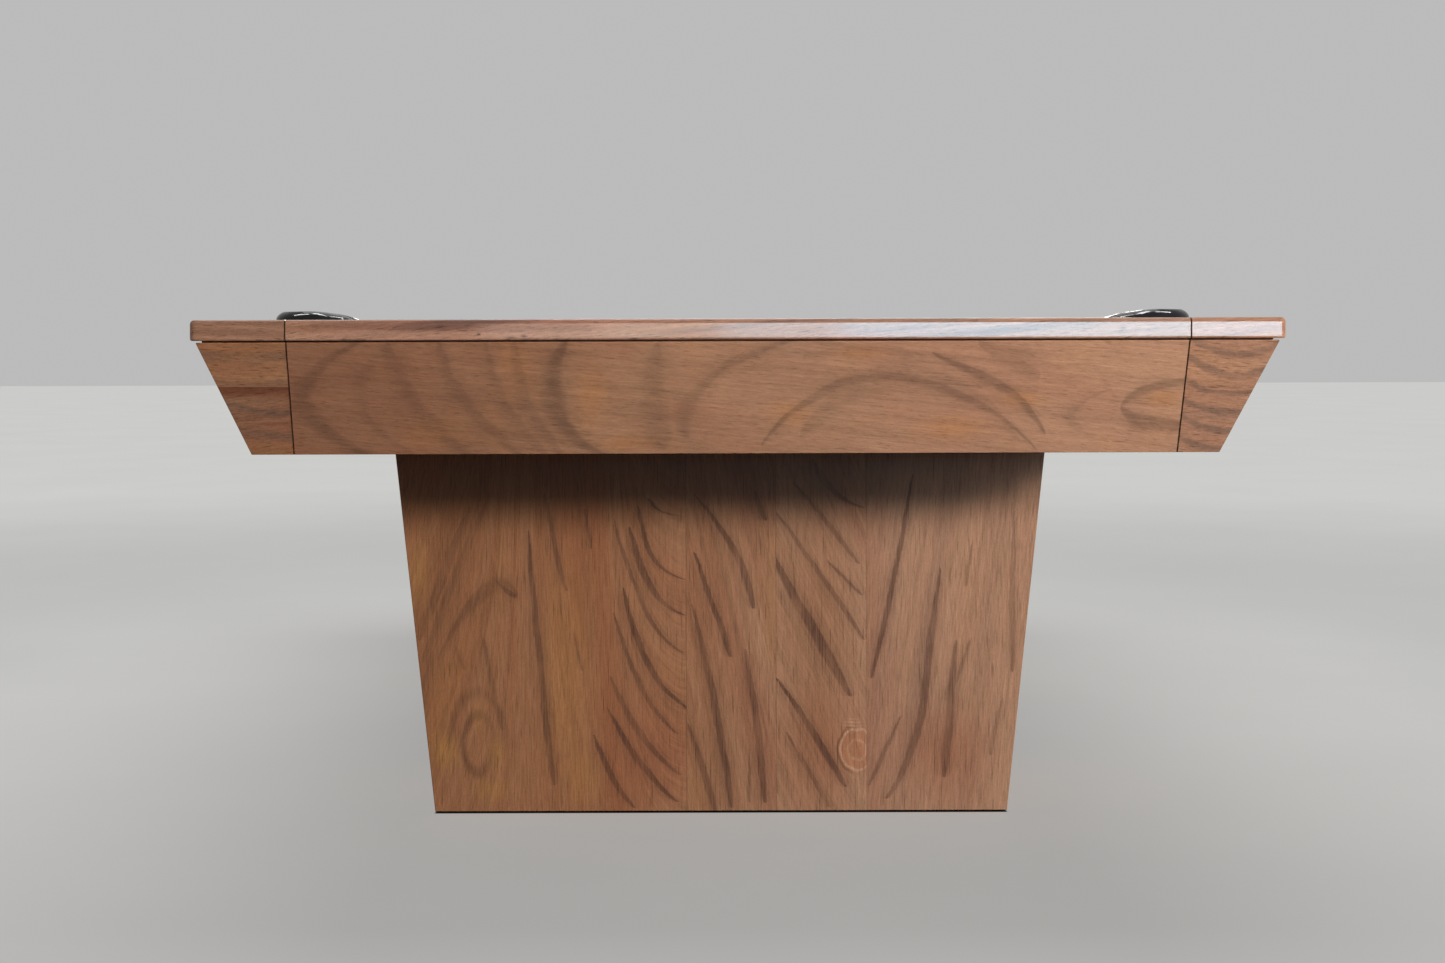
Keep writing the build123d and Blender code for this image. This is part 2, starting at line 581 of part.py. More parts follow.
def liner(centre, back_deg, half_sweep, foot_shift):
    """A bucket under the slate, with a wall up to the rim round the back of the pocket."""
    x, y = centre
    lip = BED_TOP - LINER_DROP
    waist = SLATE_BOTTOM
    bottom = BED_TOP - LINER_DEPTH
    foot = (x + foot_shift[0], y + foot_shift[1])
    inner_foot = LINER_FOOT_RADIUS - LINER_WALL
    outer = loft([Pos(*foot, bottom) * Circle(LINER_FOOT_RADIUS), Pos(x, y, waist) * Circle(LINER_RADIUS)])
    outer = fillet(outer.edges().sort_by(Axis.Z)[0], LINER_ROUND)
    inner = loft([
        Pos(*foot, bottom + LINER_WALL) * Circle(inner_foot),
        Pos(x, y, waist) * Circle(LINER_RADIUS - LINER_WALL),
    ])
    inner = fillet(inner.edges().sort_by(Axis.Z)[0], LINER_ROUND - LINER_WALL)
    collar = rod(LINER_RADIUS, x, y, waist, lip) - rod(LINER_RADIUS - LINER_WALL, x, y, waist, lip)
    wall = sector(centre, back_deg, half_sweep, LINER_RADIUS - LINER_WALL, LINER_RADIUS, lip, CAP_BOTTOM)
    return (outer - inner) + collar + wall


def corner_liner():
    return liner(CORNER_CENTRE, 225, CORNER_HALF_SWEEP, (0.0, 0.0))


def side_liner():
    bottom = BED_TOP - LINER_DEPTH
    apron_face = APRON_INSET + (APRON_TOP - bottom) * APRON_TAN + APRON_LEVEL_THICK
    shift = max(0.0, apron_face + LINER_TO_APRON + LINER_FOOT_RADIUS - SIDE_POCKET_INSET)
    return liner(SIDE_CENTRE, 180, SIDE_HALF_SWEEP, (shift, 0.0))


# ---------------------------------------------------------------- bed
def notch(shape, z0, z1):
    """Cuts the six pocket notches out of a bed piece."""
    for hole in pocket_holes(NOTCH_RADIUS, z0, z1):
        shape -= hole
    x, y = CORNER_CENTRE
    for corner in four_corners(block(-OUTER_X, x, -OUTER_Y, y, z0, z1)):
        shape -= corner
    return shape


def all_bolt_places():
    end, side = bolt_places()
    places = [(x, y * s) for x, y in end for s in (-1, 1)]
    places += [(x * s, y * t) for x, y in side for s in (-1, 1) for t in (-1, 1)]
    return places


def bed_piece(y0, y1, z0, z1):
    piece = notch(block(-SLATE_X, SLATE_X, y0, y1, z0, z1), z0, z1)
    inside = [p for p in all_bolt_places() if y0 < p[1] < y1]
    return drill(piece, inside, RAIL_BOLT_RADIUS + SLATE_HOLE_CLEARANCE, z0, z1)


def backing():
    """Strips glued under the edge of the slate, between the pockets."""
    clear = NOTCH_RADIUS + BACKING_TO_POCKET
    end = block(CORNER_CENTRE[0] + clear, -CORNER_CENTRE[0] - clear,
                -SLATE_Y, BACKING_WIDTH - SLATE_Y, BACKING_BOTTOM, SLATE_BOTTOM)
    side = block(-SLATE_X, BACKING_WIDTH - SLATE_X,
                 CORNER_CENTRE[1] + clear, -clear, BACKING_BOTTOM, SLATE_BOTTOM)
    end_bolts, side_bolts = bolt_places()
    end = drill(end, end_bolts, BOLT_ACCESS_RADIUS, BACKING_BOTTOM, SLATE_BOTTOM)
    side = drill(side, side_bolts, BOLT_ACCESS_RADIUS, BACKING_BOTTOM, SLATE_BOTTOM)
    return both_ends(end) + four_corners(side)


# ---------------------------------------------------------------- aprons
def apron_half(inset, z):
    """Half width and half length of the flared apron at a height, `inset` from its face."""
    lean = APRON_INSET + (APRON_TOP - z) * APRON_TAN + inset
    return OUTER_X - lean, OUTER_Y - lean


def flared_body(inset, z0, z1):
    """A block that flares upwards as the aprons do, `inset` from their faces."""
    faces = []
    for z in (z0, z1):
        half_x, half_y = apron_half(inset, z)
        faces.append(Pos(0, 0, z) * Rectangle(2 * half_x, 2 * half_y))
    return loft(faces, ruled=True)


def flared_shell():
    """All the aprons in one: eased outer edges, and the shadow gap cut round the top."""
    outer = flared_body(0.0, APRON_BOTTOM, APRON_TOP)
    outer = fillet(outer.edges(), APRON_EASE)
    tongue = flared_body(APRON_REBATE, (APRON_TOP + APRON_BOTTOM) / 2, CAP_BOTTOM)
    shell = outer + tongue - flared_body(APRON_LEVEL_THICK, APRON_BOTTOM, CAP_BOTTOM)
    for groove in seam_grooves():
        for copy in four_corners(groove):
            shell -= copy
    return shell


APRON_DOWEL_STEPS = (0.25, 0.75)


def apron_dowels(radius=DOWEL_RADIUS, spare=0.0):
    """Dowels across the two apron seams of the front left corner."""
    length = DOWEL_LENGTH + 2 * spare
    rods = []
    for step in APRON_DOWEL_STEPS:
        z = APRON_TOP - step * APRON_HEIGHT
        half_x, half_y = apron_half(APRON_LEVEL_THICK / 2, z)
        rods.append(dowel("x", -SEAM_X, -half_y, z, radius, length))
        rods.append(dowel("y", -half_x, -SEAM_Y, z, radius, length))
    return rods


def bore_apron(piece):
    for hole in apron_dowels(DOWEL_RADIUS + DOWEL_CLEARANCE, DOWEL_CLEARANCE):
        for copy in four_corners(hole):
            piece -= copy
    return piece


def seam_grooves():
    """Shallow V cuts down the faces of the aprons, which bevel the seams of the front left corner."""
    reach = SEAM_GAP / 2 + SEAM_EASE
    end_faces = []
    side_faces = []
    for z in (APRON_BOTTOM, CAP_BOTTOM):
        half_x, half_y = apron_half(0.0, z)
        end_faces.append(Pos(-SEAM_X, -half_y, z) * outline_face(
            [(-2 * reach, -reach), (2 * reach, -reach), (0, reach)]))
        side_faces.append(Pos(-half_x, -SEAM_Y, z) * outline_face(
            [(-reach, 2 * reach), (-reach, -2 * reach), (reach, 0)]))
    return [loft(end_faces, ruled=True), loft(side_faces, ruled=True)]


def apron_end(shell):
    gap = SEAM_GAP / 2
    piece = shell & block(gap - SEAM_X, SEAM_X - gap, -OUTER_Y, -SEAM_Y, APRON_BOTTOM, CAP_BOTTOM)
    return bore_apron(piece)


def apron_side(shell):
    gap = SEAM_GAP / 2
    piece = shell & block(-OUTER_X, -SEAM_X, gap - SEAM_Y, SEAM_Y - gap, APRON_BOTTOM, CAP_BOTTOM)
    return bore_apron(piece)


def corner_block(shell):
    gap = SEAM_GAP / 2
    piece = shell & block(-OUTER_X, -SEAM_X - gap, -OUTER_Y, -SEAM_Y - gap, APRON_BOTTOM, CAP_BOTTOM)
    return bore_apron(piece)


# ---------------------------------------------------------------- frame
def long_beam():
    x0 = -LONG_BEAM_X - BEAM_THICK / 2
    end = END_BEAM_Y + BEAM_THICK / 2
    beam = block(x0, x0 + BEAM_THICK, -end, end, BEAM_BOTTOM, BEAM_TOP)
    hole = PEDESTAL_BOLT_RADIUS + BOLT_HOLE_CLEARANCE
    for x, y in pedestal_bolt_places():
        beam = drill(beam, [(x, y), (x, -y)], hole, BEAM_BOTTOM, pedestal_bolt_top())
    return beam


def cross_beams():
    """Beams between the long beams: at the ends, over the pedestals and in the middle."""
    half = LONG_BEAM_X - BEAM_THICK / 2
    beams = [block(-half, half, -BEAM_THICK / 2, BEAM_THICK / 2, BEAM_BOTTOM, BEAM_TOP)]
    places = [(END_BEAM_Y, BEAM_THICK), (SLATE_JOINT, SEAM_BEAM_THICK)]
    places.append((PEDESTAL_OUTER_Y - BEAM_THICK / 2, BEAM_THICK))
    for y, thick in places:
        beams += both_ends(block(-half, half, -y - thick / 2, thick / 2 - y, BEAM_BOTTOM, BEAM_TOP))
    return beams


def outriggers():
    """Blocks from the frame out to the aprons, with their outer ends cut to the lean."""
    z0 = OUTRIGGER_BOTTOM
    z1 = BACKING_BOTTOM
    low_x, low_y = apron_half(APRON_LEVEL_THICK, z0)
    high_x, high_y = apron_half(APRON_LEVEL_THICK, z1)
    frame_x = LONG_BEAM_X + BEAM_THICK / 2
    frame_y = END_BEAM_Y + BEAM_THICK / 2
    blocks = []
    half = OUTRIGGER_THICK / 2
    end_face = outline_face([(-frame_y, z0), (-low_y, z0), (-high_y, z1), (-frame_y, z1)])
    end_block = along_x(end_face, -OUTRIGGER_END_X - half, half - OUTRIGGER_END_X)
    blocks += four_corners(end_block)
    side_face = outline_face([(-frame_x, z0), (-low_x, z0), (-high_x, z1), (-frame_x, z1)])
    for y in (SLATE_JOINT, OUTRIGGER_SIDE_Y):
        bar = along_x(side_face, -y - half, half - y)
        blocks += four_corners(mirror(bar, about=Plane((0, 0, 0), z_dir=(1, -1, 0))))
    return blocks


# ---------------------------------------------------------------- pedestals
def pedestal_half(z, inset=0.0):
    return PEDESTAL_FOOT_WIDTH / 2 + (z - FLOOR_GAP) * PEDESTAL_TAN - inset


def upright_outline(y, inset):
    """The pedestal's tapered outline in a plane across the table."""
    low = pedestal_half(FLOOR_GAP, inset)
    high = pedestal_half(BEAM_BOTTOM, inset)
    return [(-low, y, FLOOR_GAP), (low, y, FLOOR_GAP), (high, y, BEAM_BOTTOM), (-high, y, BEAM_BOTTOM)]


def pedestal_form():
    """The outer form of the front pedestal, with its show edges eased."""
    middle = -(PEDESTAL_OUTER_Y + PEDESTAL_INNER_Y) / 2
    faces = []
    for z in (FLOOR_GAP, BEAM_BOTTOM):
        faces.append(Pos(0, middle, z) * Rectangle(2 * pedestal_half(z), PEDESTAL_DEPTH))
    form = loft(faces, ruled=True)
    return fillet([e for e in form.edges() if e.center().Z < BEAM_BOTTOM - FLOOR_GAP], PEDESTAL_EASE)


def pedestal_broad_panel(face_y, back_y):
    """A tapered panel with mitred ends, from its show face to its back."""
    panel = between(upright_outline(face_y, 0.0), upright_outline(back_y, PEDESTAL_LEVEL_WALL))
    return panel & pedestal_form()


def pedestal_side_panel():
    """The left panel of the front pedestal, leaning outwards, with mitred edges."""
    outlines = []
    for inset, wall in ((0.0, 0.0), (PEDESTAL_LEVEL_WALL, PEDESTAL_WALL)):
        low = -pedestal_half(FLOOR_GAP, inset)
        high = -pedestal_half(BEAM_BOTTOM, inset)
        y0 = -PEDESTAL_OUTER_Y + wall
        y1 = -PEDESTAL_INNER_Y - wall
        outlines.append([(low, y0, FLOOR_GAP), (low, y1, FLOOR_GAP), (high, y1, BEAM_BOTTOM),
                         (high, y0, BEAM_BOTTOM)])
    return between(outlines[0], outlines[1]) & pedestal_form()


def pedestal_plate():
    """The plate between the tops of the front pedestal's panels."""
    z0 = BEAM_BOTTOM - PEDESTAL_PLATE
    y0 = -PEDESTAL_OUTER_Y + PEDESTAL_WALL
    y1 = -PEDESTAL_INNER_Y - PEDESTAL_WALL
    low = pedestal_half(z0, PEDESTAL_LEVEL_WALL)
    high = pedestal_half(BEAM_BOTTOM, PEDESTAL_LEVEL_WALL)
    plate = between(
        [(-low, y0, z0), (low, y0, z0), (low, y1, z0), (-low, y1, z0)],
        [(-high, y0, BEAM_BOTTOM), (high, y0, BEAM_BOTTOM), (high, y1, BEAM_BOTTOM), (-high, y1, BEAM_BOTTOM)],
    )
    hole = PEDESTAL_BOLT_RADIUS + BOLT_HOLE_CLEARANCE
    for x, y in pedestal_bolt_places():
        plate = drill(plate, [(x, y), (-x, y)], hole, z0, BEAM_BOTTOM)
    return plate


def pedestal_bolt_places():
    """Bolts on the left side of the front pedestal."""
    return [
        (-LONG_BEAM_X, PEDESTAL_BOLT_INSET - PEDESTAL_OUTER_Y),
        (-LONG_BEAM_X, -PEDESTAL_BOLT_INSET - PEDESTAL_INNER_Y),
    ]


def pedestal_bolt_top():
    return BEAM_BOTTOM - PEDESTAL_PLATE + PEDESTAL_BOLT_LENGTH


def hex_bolt(x, y, seat_z, radius, top_z):
    """A bolt that points up, with its head under `seat_z`."""
    head = hex_bar(BOLT_HEAD_FLATS, x, y, seat_z - BOLT_HEAD_HEIGHT, seat_z)
    return head + rod(radius, x, y, seat_z, top_z)


def pedestal_bolts():
    seat = BEAM_BOTTOM - PEDESTAL_PLATE
    bolts = []
    for x, y in pedestal_bolt_places():
        bolts += four_corners(hex_bolt(x, y, seat, PEDESTAL_BOLT_RADIUS, pedestal_bolt_top()))
    return bolts


# ---------------------------------------------------------------- levelling feet
def foot_places():
    """Outer and inner foot under the left of the front pedestal."""
    return {
        "outer": (-FOOT_X, FOOT_INSET - PEDESTAL_OUTER_Y),
        "inner": (-FOOT_X, -FOOT_INSET - PEDESTAL_INNER_Y),
    }


def foot_rail():
    z1 = FOOT_RAIL_BOTTOM + FOOT_RAIL_HEIGHT
    half = FOOT_RAIL_WIDTH / 2
    y0 = -PEDESTAL_OUTER_Y + PEDESTAL_WALL
    y1 = -PEDESTAL_INNER_Y - PEDESTAL_WALL
    rail = block(-FOOT_X - half, half - FOOT_X, y0, y1, FOOT_RAIL_BOTTOM, z1)
    return drill(rail, list(foot_places().values()), INSERT_BARREL_RADIUS, FOOT_RAIL_BOTTOM, z1)


def foot_insert(x, y):
    flange = rod(INSERT_FLANGE_RADIUS, x, y, INSERT_BOTTOM, FOOT_RAIL_BOTTOM)
    barrel = rod(INSERT_BARREL_RADIUS, x, y, FOOT_RAIL_BOTTOM, INSERT_BOTTOM + INSERT_LENGTH)
    bore = rod(STUD_RADIUS + STUD_CLEARANCE, x, y, INSERT_BOTTOM, INSERT_BOTTOM + INSERT_LENGTH)
    return flange + barrel - bore


def foot(x, y):
    """A levelling foot: a round pad, a hexagonal hub for the spanner and a threaded stud."""
    pad = rod(FOOT_PAD_RADIUS, x, y, 0.0, FOOT_PAD_THICK)
    pad = chamfer(pad.edges().sort_by(Axis.Z)[-1], FOOT_PAD_THICK / 3)
    hub = hex_bar(FOOT_HUB_FLATS, x, y, FOOT_PAD_THICK, HUB_TOP)
    return pad + hub + rod(STUD_RADIUS, x, y, HUB_TOP, HUB_TOP + STUD_LENGTH)


# ---------------------------------------------------------------- rail fasteners
def rail_bolts():
    seat = SLATE_BOTTOM - WASHER_THICK
    top = CAP_BOTTOM + RAIL_BOLT_BITE
    return [hex_bolt(x, y, seat, RAIL_BOLT_RADIUS, top) for x, y in all_bolt_places()]


def rail_washers():
    washers = []
    z0 = SLATE_BOTTOM - WASHER_THICK
    for x, y in all_bolt_places():
        hole = rod(RAIL_BOLT_RADIUS + BOLT_HOLE_CLEARANCE, x, y, z0, SLATE_BOTTOM)
        washers.append(rod(WASHER_RADIUS, x, y, z0, SLATE_BOTTOM) - hole)
    return washers


def sights():
    end, side = sight_places()
    discs = []
    for x, y in end:
        discs += both_ends(rod(SIGHT_RADIUS, x, y, CAP_TOP - SIGHT_DEPTH, CAP_TOP))
    for x, y in side:
        discs += four_corners(rod(SIGHT_RADIUS, x, y, CAP_TOP - SIGHT_DEPTH, CAP_TOP))
    return discs


# ---------------------------------------------------------------- assembly
def save_rails():
    cap = end_cap()
    for end, y in ENDS.items():
        save(f"rail_cap_{end}", mirrored(cap, -1, y))
    cap = side_cap()
    corner = corner_cap()
    for side, x in SIDES.items():
        for end, y in ENDS.items():
            save(f"rail_cap_{side}_{end}", mirrored(cap, x, y))
            save(f"corner_cap_{end}_{side}", mirrored(corner, x, y))
    save("sub_rails_end", both_ends(sub_rail_end()))
    save("sub_rails_side", four_corners(sub_rail_side()))
    save("sights", sights())


def save_cushions():
    tuck = CAP_WIDTH - CLOTH_TUCK
    end_rubber = rubber(end_run, end_cushion_plan(CLOTH_THICK, CAP_WIDTH))
    side_rubber = rubber(side_run, side_cushion_plan(CLOTH_THICK, CAP_WIDTH))
    end_strip = feather_strip(end_run, end_cushion_plan(0.0, tuck))
    side_strip = feather_strip(side_run, side_cushion_plan(0.0, tuck))
    end_cloth = cloth(end_run, end_cushion_plan(0.0, tuck), end_rubber, end_strip)
    side_cloth = cloth(side_run, side_cushion_plan(0.0, tuck), side_rubber, side_strip)
    save("cushions_end", both_ends(end_rubber))
    save("cushions_side", four_corners(side_rubber))
    save("cushion_cloth_end", both_ends(end_cloth))
    save("cushion_cloth_side", four_corners(side_cloth))
    save("feather_strips", both_ends(end_strip) + four_corners(side_strip))


def save_pockets():
    save("corner_pocket_rims", four_corners(rim(CORNER_CENTRE, 225, CORNER_HALF_SWEEP)))
    save("side_pocket_rims", both_sides(rim(SIDE_CENTRE, 180, SIDE_HALF_SWEEP)))
    save("corner_pocket_liners", four_corners(corner_liner()))
    save("side_pocket_liners", both_sides(side_liner()))


def save_bed():
    save("slate_front", bed_piece(-SLATE_Y, -SLATE_JOINT, SLATE_BOTTOM, SLATE_TOP))
    save("slate_middle", bed_piece(-SLATE_JOINT, SLATE_JOINT, SLATE_BOTTOM, SLATE_TOP))
    save("slate_back", bed_piece(SLATE_JOINT, SLATE_Y, SLATE_BOTTOM, SLATE_TOP))
    save("bed_cloth", bed_piece(-SLATE_Y, SLATE_Y, SLATE_TOP, BED_TOP))
    save("slate_backing", backing())
    save("rail_bolts", rail_bolts())
    save("rail_washers", rail_washers())


def save_aprons():
    shell = flared_shell()
    for end, y in ENDS.items():
        save(f"apron_{end}", mirrored(apron_end(shell), -1, y))
    for side, x in SIDES.items():
        save(f"apron_{side}", mirrored(apron_side(shell), x, -1))
        for end, y in ENDS.items():
            save(f"corner_block_{end}_{side}", mirrored(corner_block(shell), x, y))
    dowels = [d for rods in cap_dowels() + apron_dowels() for d in four_corners(rods)]
    save("seam_dowels", dowels + both_sides(side_seam_dowel()))


def save_frame():
    save("long_beams", both_sides(long_beam()))
    save("cross_beams", cross_beams())
    save("outriggers", outriggers())


def save_pedestals():
    outer = pedestal_broad_panel(-PEDESTAL_OUTER_Y, PEDESTAL_WALL - PEDESTAL_OUTER_Y)
    inner = pedestal_broad_panel(-PEDESTAL_INNER_Y, -PEDESTAL_WALL - PEDESTAL_INNER_Y)
    sides = both_sides(pedestal_side_panel())
    for end, y in ENDS.items():
        save(f"pedestal_{end}_outer_panel", mirrored(outer, -1, y))
        save(f"pedestal_{end}_inner_panel", mirrored(inner, -1, y))
        save(f"pedestal_{end}_side_panels", [mirrored(side, -1, y) for side in sides])
    save("pedestal_plates", both_ends(pedestal_plate()))
    save("pedestal_bolts", pedestal_bolts())
    save("foot_rails", four_corners(foot_rail()))


def save_feet():
    inserts = []
    for place, (x, y) in foot_places().items():
        inserts += four_corners(foot_insert(x, y))
        for end, end_sign in ENDS.items():
            for side, side_sign in SIDES.items():
                save(f"foot_{end}_{side}_{place}", mirrored(foot(x, y), side_sign, end_sign))
    save("foot_inserts", inserts)


def main():
    os.makedirs("parts", exist_ok=True)
    save_rails()
    save_cushions()
    save_pockets()
    save_bed()
    save_aprons()
    save_frame()
    save_pedestals()
    save_feet()


main()
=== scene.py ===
import math

import bmesh
import bpy
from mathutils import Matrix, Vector


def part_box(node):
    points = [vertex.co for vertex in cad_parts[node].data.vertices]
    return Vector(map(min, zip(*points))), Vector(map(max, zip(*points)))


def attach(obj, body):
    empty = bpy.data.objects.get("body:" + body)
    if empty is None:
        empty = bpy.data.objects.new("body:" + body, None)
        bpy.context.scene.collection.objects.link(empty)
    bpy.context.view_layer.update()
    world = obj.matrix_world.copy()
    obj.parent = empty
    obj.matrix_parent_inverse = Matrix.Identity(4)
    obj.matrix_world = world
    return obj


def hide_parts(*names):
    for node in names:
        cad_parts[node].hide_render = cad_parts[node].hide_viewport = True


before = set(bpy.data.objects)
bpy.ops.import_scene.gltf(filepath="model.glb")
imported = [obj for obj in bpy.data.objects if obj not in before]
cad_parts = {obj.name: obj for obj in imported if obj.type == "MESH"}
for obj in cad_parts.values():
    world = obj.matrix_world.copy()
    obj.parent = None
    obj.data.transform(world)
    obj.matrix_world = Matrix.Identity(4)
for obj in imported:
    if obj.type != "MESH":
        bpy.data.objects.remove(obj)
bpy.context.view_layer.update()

BODY = "table"
RAIL_LOW, RAIL_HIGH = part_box("rail_cap_front")
TOP_Z = RAIL_HIGH.z
END_Y = RAIL_LOW.y
BED_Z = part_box("bed_cloth")[1].z
APRON_LOW_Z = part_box("apron_front")[0].z


# ---------------------------------------------------------------- camera
CAMERA_X = -0.144
CAMERA_BACK = 2.63            # in front of the table's end
CAMERA_DROP = 0.029           # below the top of the rails
CAMERA_ROLL_DEG = 0.165
LENS = 47.83
SHIFT = (0.062, -0.0979)


def make_camera():
    """Level camera in front of the -Y end, just under rail height, a little left of the middle."""
    data = bpy.data.cameras.new("camera")
    data.sensor_width = 36.0
    data.lens = LENS
    data.shift_x, data.shift_y = SHIFT
    camera = bpy.data.objects.new("camera", data)
    camera.location = (CAMERA_X, END_Y - CAMERA_BACK, TOP_Z - CAMERA_DROP)
    camera.rotation_euler = (math.radians(90.0), math.radians(CAMERA_ROLL_DEG), 0.0)
    bpy.context.scene.collection.objects.link(camera)
    bpy.context.scene.camera = camera


make_camera()


# ---------------------------------------------------------------- shader arithmetic
class Field:
    """A number that varies over a surface: an output socket that takes arithmetic."""

    def __init__(self, tree, socket):
        self.tree = tree
        self.socket = socket

    def math(self, operation, *others, clamp=False):
        return math_node(self.tree, operation, self, *others, clamp=clamp)

    def __add__(self, other):
        return self.math("ADD", other)

    def __radd__(self, other):
        return self.math("ADD", other)

    def __sub__(self, other):
        return self.math("SUBTRACT", other)

    def __rsub__(self, other):
        return math_node(self.tree, "SUBTRACT", other, self)

    def __mul__(self, other):
        return self.math("MULTIPLY", other)

    def __truediv__(self, other):
        return self.math("DIVIDE", other)

    def abs(self):
        return self.math("ABSOLUTE")

    def clamped(self):
        return self.math("ADD", 0.0, clamp=True)


def plug(tree, term, socket):
    """Links a field to a socket, or sets the socket to a plain value."""
    if isinstance(term, Field):
        tree.links.new(term.socket, socket)
    else:
        socket.default_value = term


def math_node(tree, operation, *terms, clamp=False):
    node = tree.nodes.new("ShaderNodeMath")
    node.operation = operation
    node.use_clamp = clamp
    for term, socket in zip(terms, node.inputs):
        plug(tree, term, socket)
    return Field(tree, node.outputs[0])


def smooth(field, low, high, to_low=0.0, to_high=1.0):
    """Eases from to_low where the field is low, to to_high where it is high."""
    node = field.tree.nodes.new("ShaderNodeMapRange")
    node.interpolation_type = "SMOOTHSTEP"
    for name, term in (("Value", field), ("From Min", low), ("From Max", high),
                       ("To Min", to_low), ("To Max", to_high)):
        plug(field.tree, term, node.inputs[name])
    return Field(field.tree, node.outputs[0])


def vector(tree, x, y, z):
    node = tree.nodes.new("ShaderNodeCombineXYZ")
    for term, socket in zip((x, y, z), node.inputs):
        plug(tree, term, socket)
    return Field(tree, node.outputs[0])


def noise(place, scale=1.0, detail=2.0, roughness=0.5):
    """Noise over the surface, 0 to 1 and mostly near a half."""
    node = place.tree.nodes.new("ShaderNodeTexNoise")
    place.tree.links.new(place.socket, node.inputs["Vector"])
    node.inputs["Scale"].default_value = scale
    node.inputs["Detail"].default_value = detail
    node.inputs["Roughness"].default_value = roughness
    return Field(place.tree, node.outputs["Fac"])


def tone(red, green, blue):
    """A display colour, 0 to 255, as the linear colour that shaders use."""
    linear = []
    for part in (red, green, blue):
        part /= 255.0
        linear.append(part / 12.92 if part <= 0.04045 else ((part + 0.055) / 1.055) ** 2.4)
    return (*linear, 1.0)


def mix(tree, amount, first, second, blend="MIX"):
    """Mixes two colours, each a socket or a linear colour."""
    node = tree.nodes.new("ShaderNodeMix")
    node.data_type = "RGBA"
    node.blend_type = blend
    node.clamp_factor = True
    plug(tree, amount, node.inputs[0])
    for term, socket in ((first, node.inputs[6]), (second, node.inputs[7])):
        plug(tree, term, socket)
    return Field(tree, node.outputs[2])


def ramp(field, stops):
    """Colour along a scale: stops is a list of (place, colour)."""
    node = field.tree.nodes.new("ShaderNodeValToRGB")
    field.tree.links.new(field.socket, node.inputs["Fac"])
    elements = node.color_ramp.elements
    for index, (place, colour) in enumerate(stops):
        element = elements[index] if index < 2 else elements.new(place)
        element.position = place
        element.color = colour
    return Field(field.tree, node.outputs["Color"])


def new_material(name, **settings):
    """A material with its Principled shader, and the object's own coordinates in metres."""
    material = bpy.data.materials.new(name)
    material.use_nodes = True
    tree = material.node_tree
    shader = tree.nodes["Principled BSDF"]
    for key, value in settings.items():
        shader.inputs[key.replace("_", " ")].default_value = value
    coordinates = tree.nodes.new("ShaderNodeTexCoord")
    split = tree.nodes.new("ShaderNodeSeparateXYZ")
    tree.links.new(coordinates.outputs["Object"], split.inputs[0])
    x, y, z = (Field(tree, out) for out in split.outputs)
    return material, tree, shader, x, y, z


def finish_surface(tree, shader, colour, roughness=None, height=None, depth=0.001):
    """Links colour, roughness and relief to the shader. depth is the height of the relief in metres."""
    tree.links.new(colour.socket, shader.inputs["Base Color"])
    if roughness is not None:
        tree.links.new(roughness.socket, shader.inputs["Roughness"])
    if height is not None:
        bump = tree.nodes.new("ShaderNodeBump")
        bump.inputs["Distance"].default_value = depth
        tree.links.new(height.socket, bump.inputs["Height"])
        tree.links.new(bump.outputs[0], shader.inputs["Normal"])


# ---------------------------------------------------------------- wood
def make_streak_group():
    """One dark growth streak: a tapering curve that starts at Start and runs down by Length."""
    group = bpy.data.node_groups.new("streak", "ShaderNodeTree")
    names = "Along Across Start Length Origin Lean Bow Hook Width Strength Soft".split()
    for name in names:
        group.interface.new_socket(name=name, in_out="INPUT", socket_type="NodeSocketFloat")
    group.interface.new_socket(name="Mask", in_out="OUTPUT", socket_type="NodeSocketFloat")
    inside = group.nodes.new("NodeGroupInput")
    outside = group.nodes.new("NodeGroupOutput")
    given = {name: Field(group, inside.outputs[name]) for name in names}
    part = ((given["Start"] - given["Along"]) / given["Length"]).clamped()
    square = part * part
    centre = given["Origin"] + part * given["Lean"] + square * given["Bow"]
    centre = centre + square * square * square * given["Hook"]
    taper = part.math("POWER", 0.55) * (1.0 - part).math("POWER", 0.32) * 1.33
    reach = (given["Width"] * taper).math("MAXIMUM", 0.00001)
    away = (given["Across"] - centre) / reach
    skewed = away.math("MAXIMUM", away * -0.55)
    core = smooth(skewed, given["Soft"] + 1.0, 0.45 - given["Soft"] * 0.45)
    halo = smooth(skewed, 3.2, 0.5, 0.0, 0.30)
    mask = core.math("MAXIMUM", halo) * given["Strength"]
    group.links.new(mask.socket, outside.inputs["Mask"])
    return group


STREAK = make_streak_group()


def streak(along, across, start, end, bow=0.0, hook=0.0, width=0.012, strength=1.0, soft=0.0):
    """A streak between two points (across, along), bowed and hooked towards its lower end."""
    node = along.tree.nodes.new("ShaderNodeGroup")
    node.node_tree = STREAK
    lean = end[0] - start[0] - bow - hook
    terms = (along, across, start[1], start[1] - end[1], start[0], lean, bow, hook, width / 2, strength, soft)
    for term, socket in zip(terms, node.inputs):
        plug(along.tree, term, socket)
    return Field(along.tree, node.outputs[0])


def strongest(masks):
    """The greatest of several masks at each place."""
    total = masks[0]
    for mask in masks[1:]:
        total = total.math("MAXIMUM", mask)
    return total


def blob(first, second, centre, size):
    """A soft patch: 1 in its middle, 0 beyond its two half sizes."""
    a = (first - centre[0]) / size[0]
    b = (second - centre[1]) / size[1]
    return smooth((a * a + b * b).math("SQRT"), 1.0, 0.0)


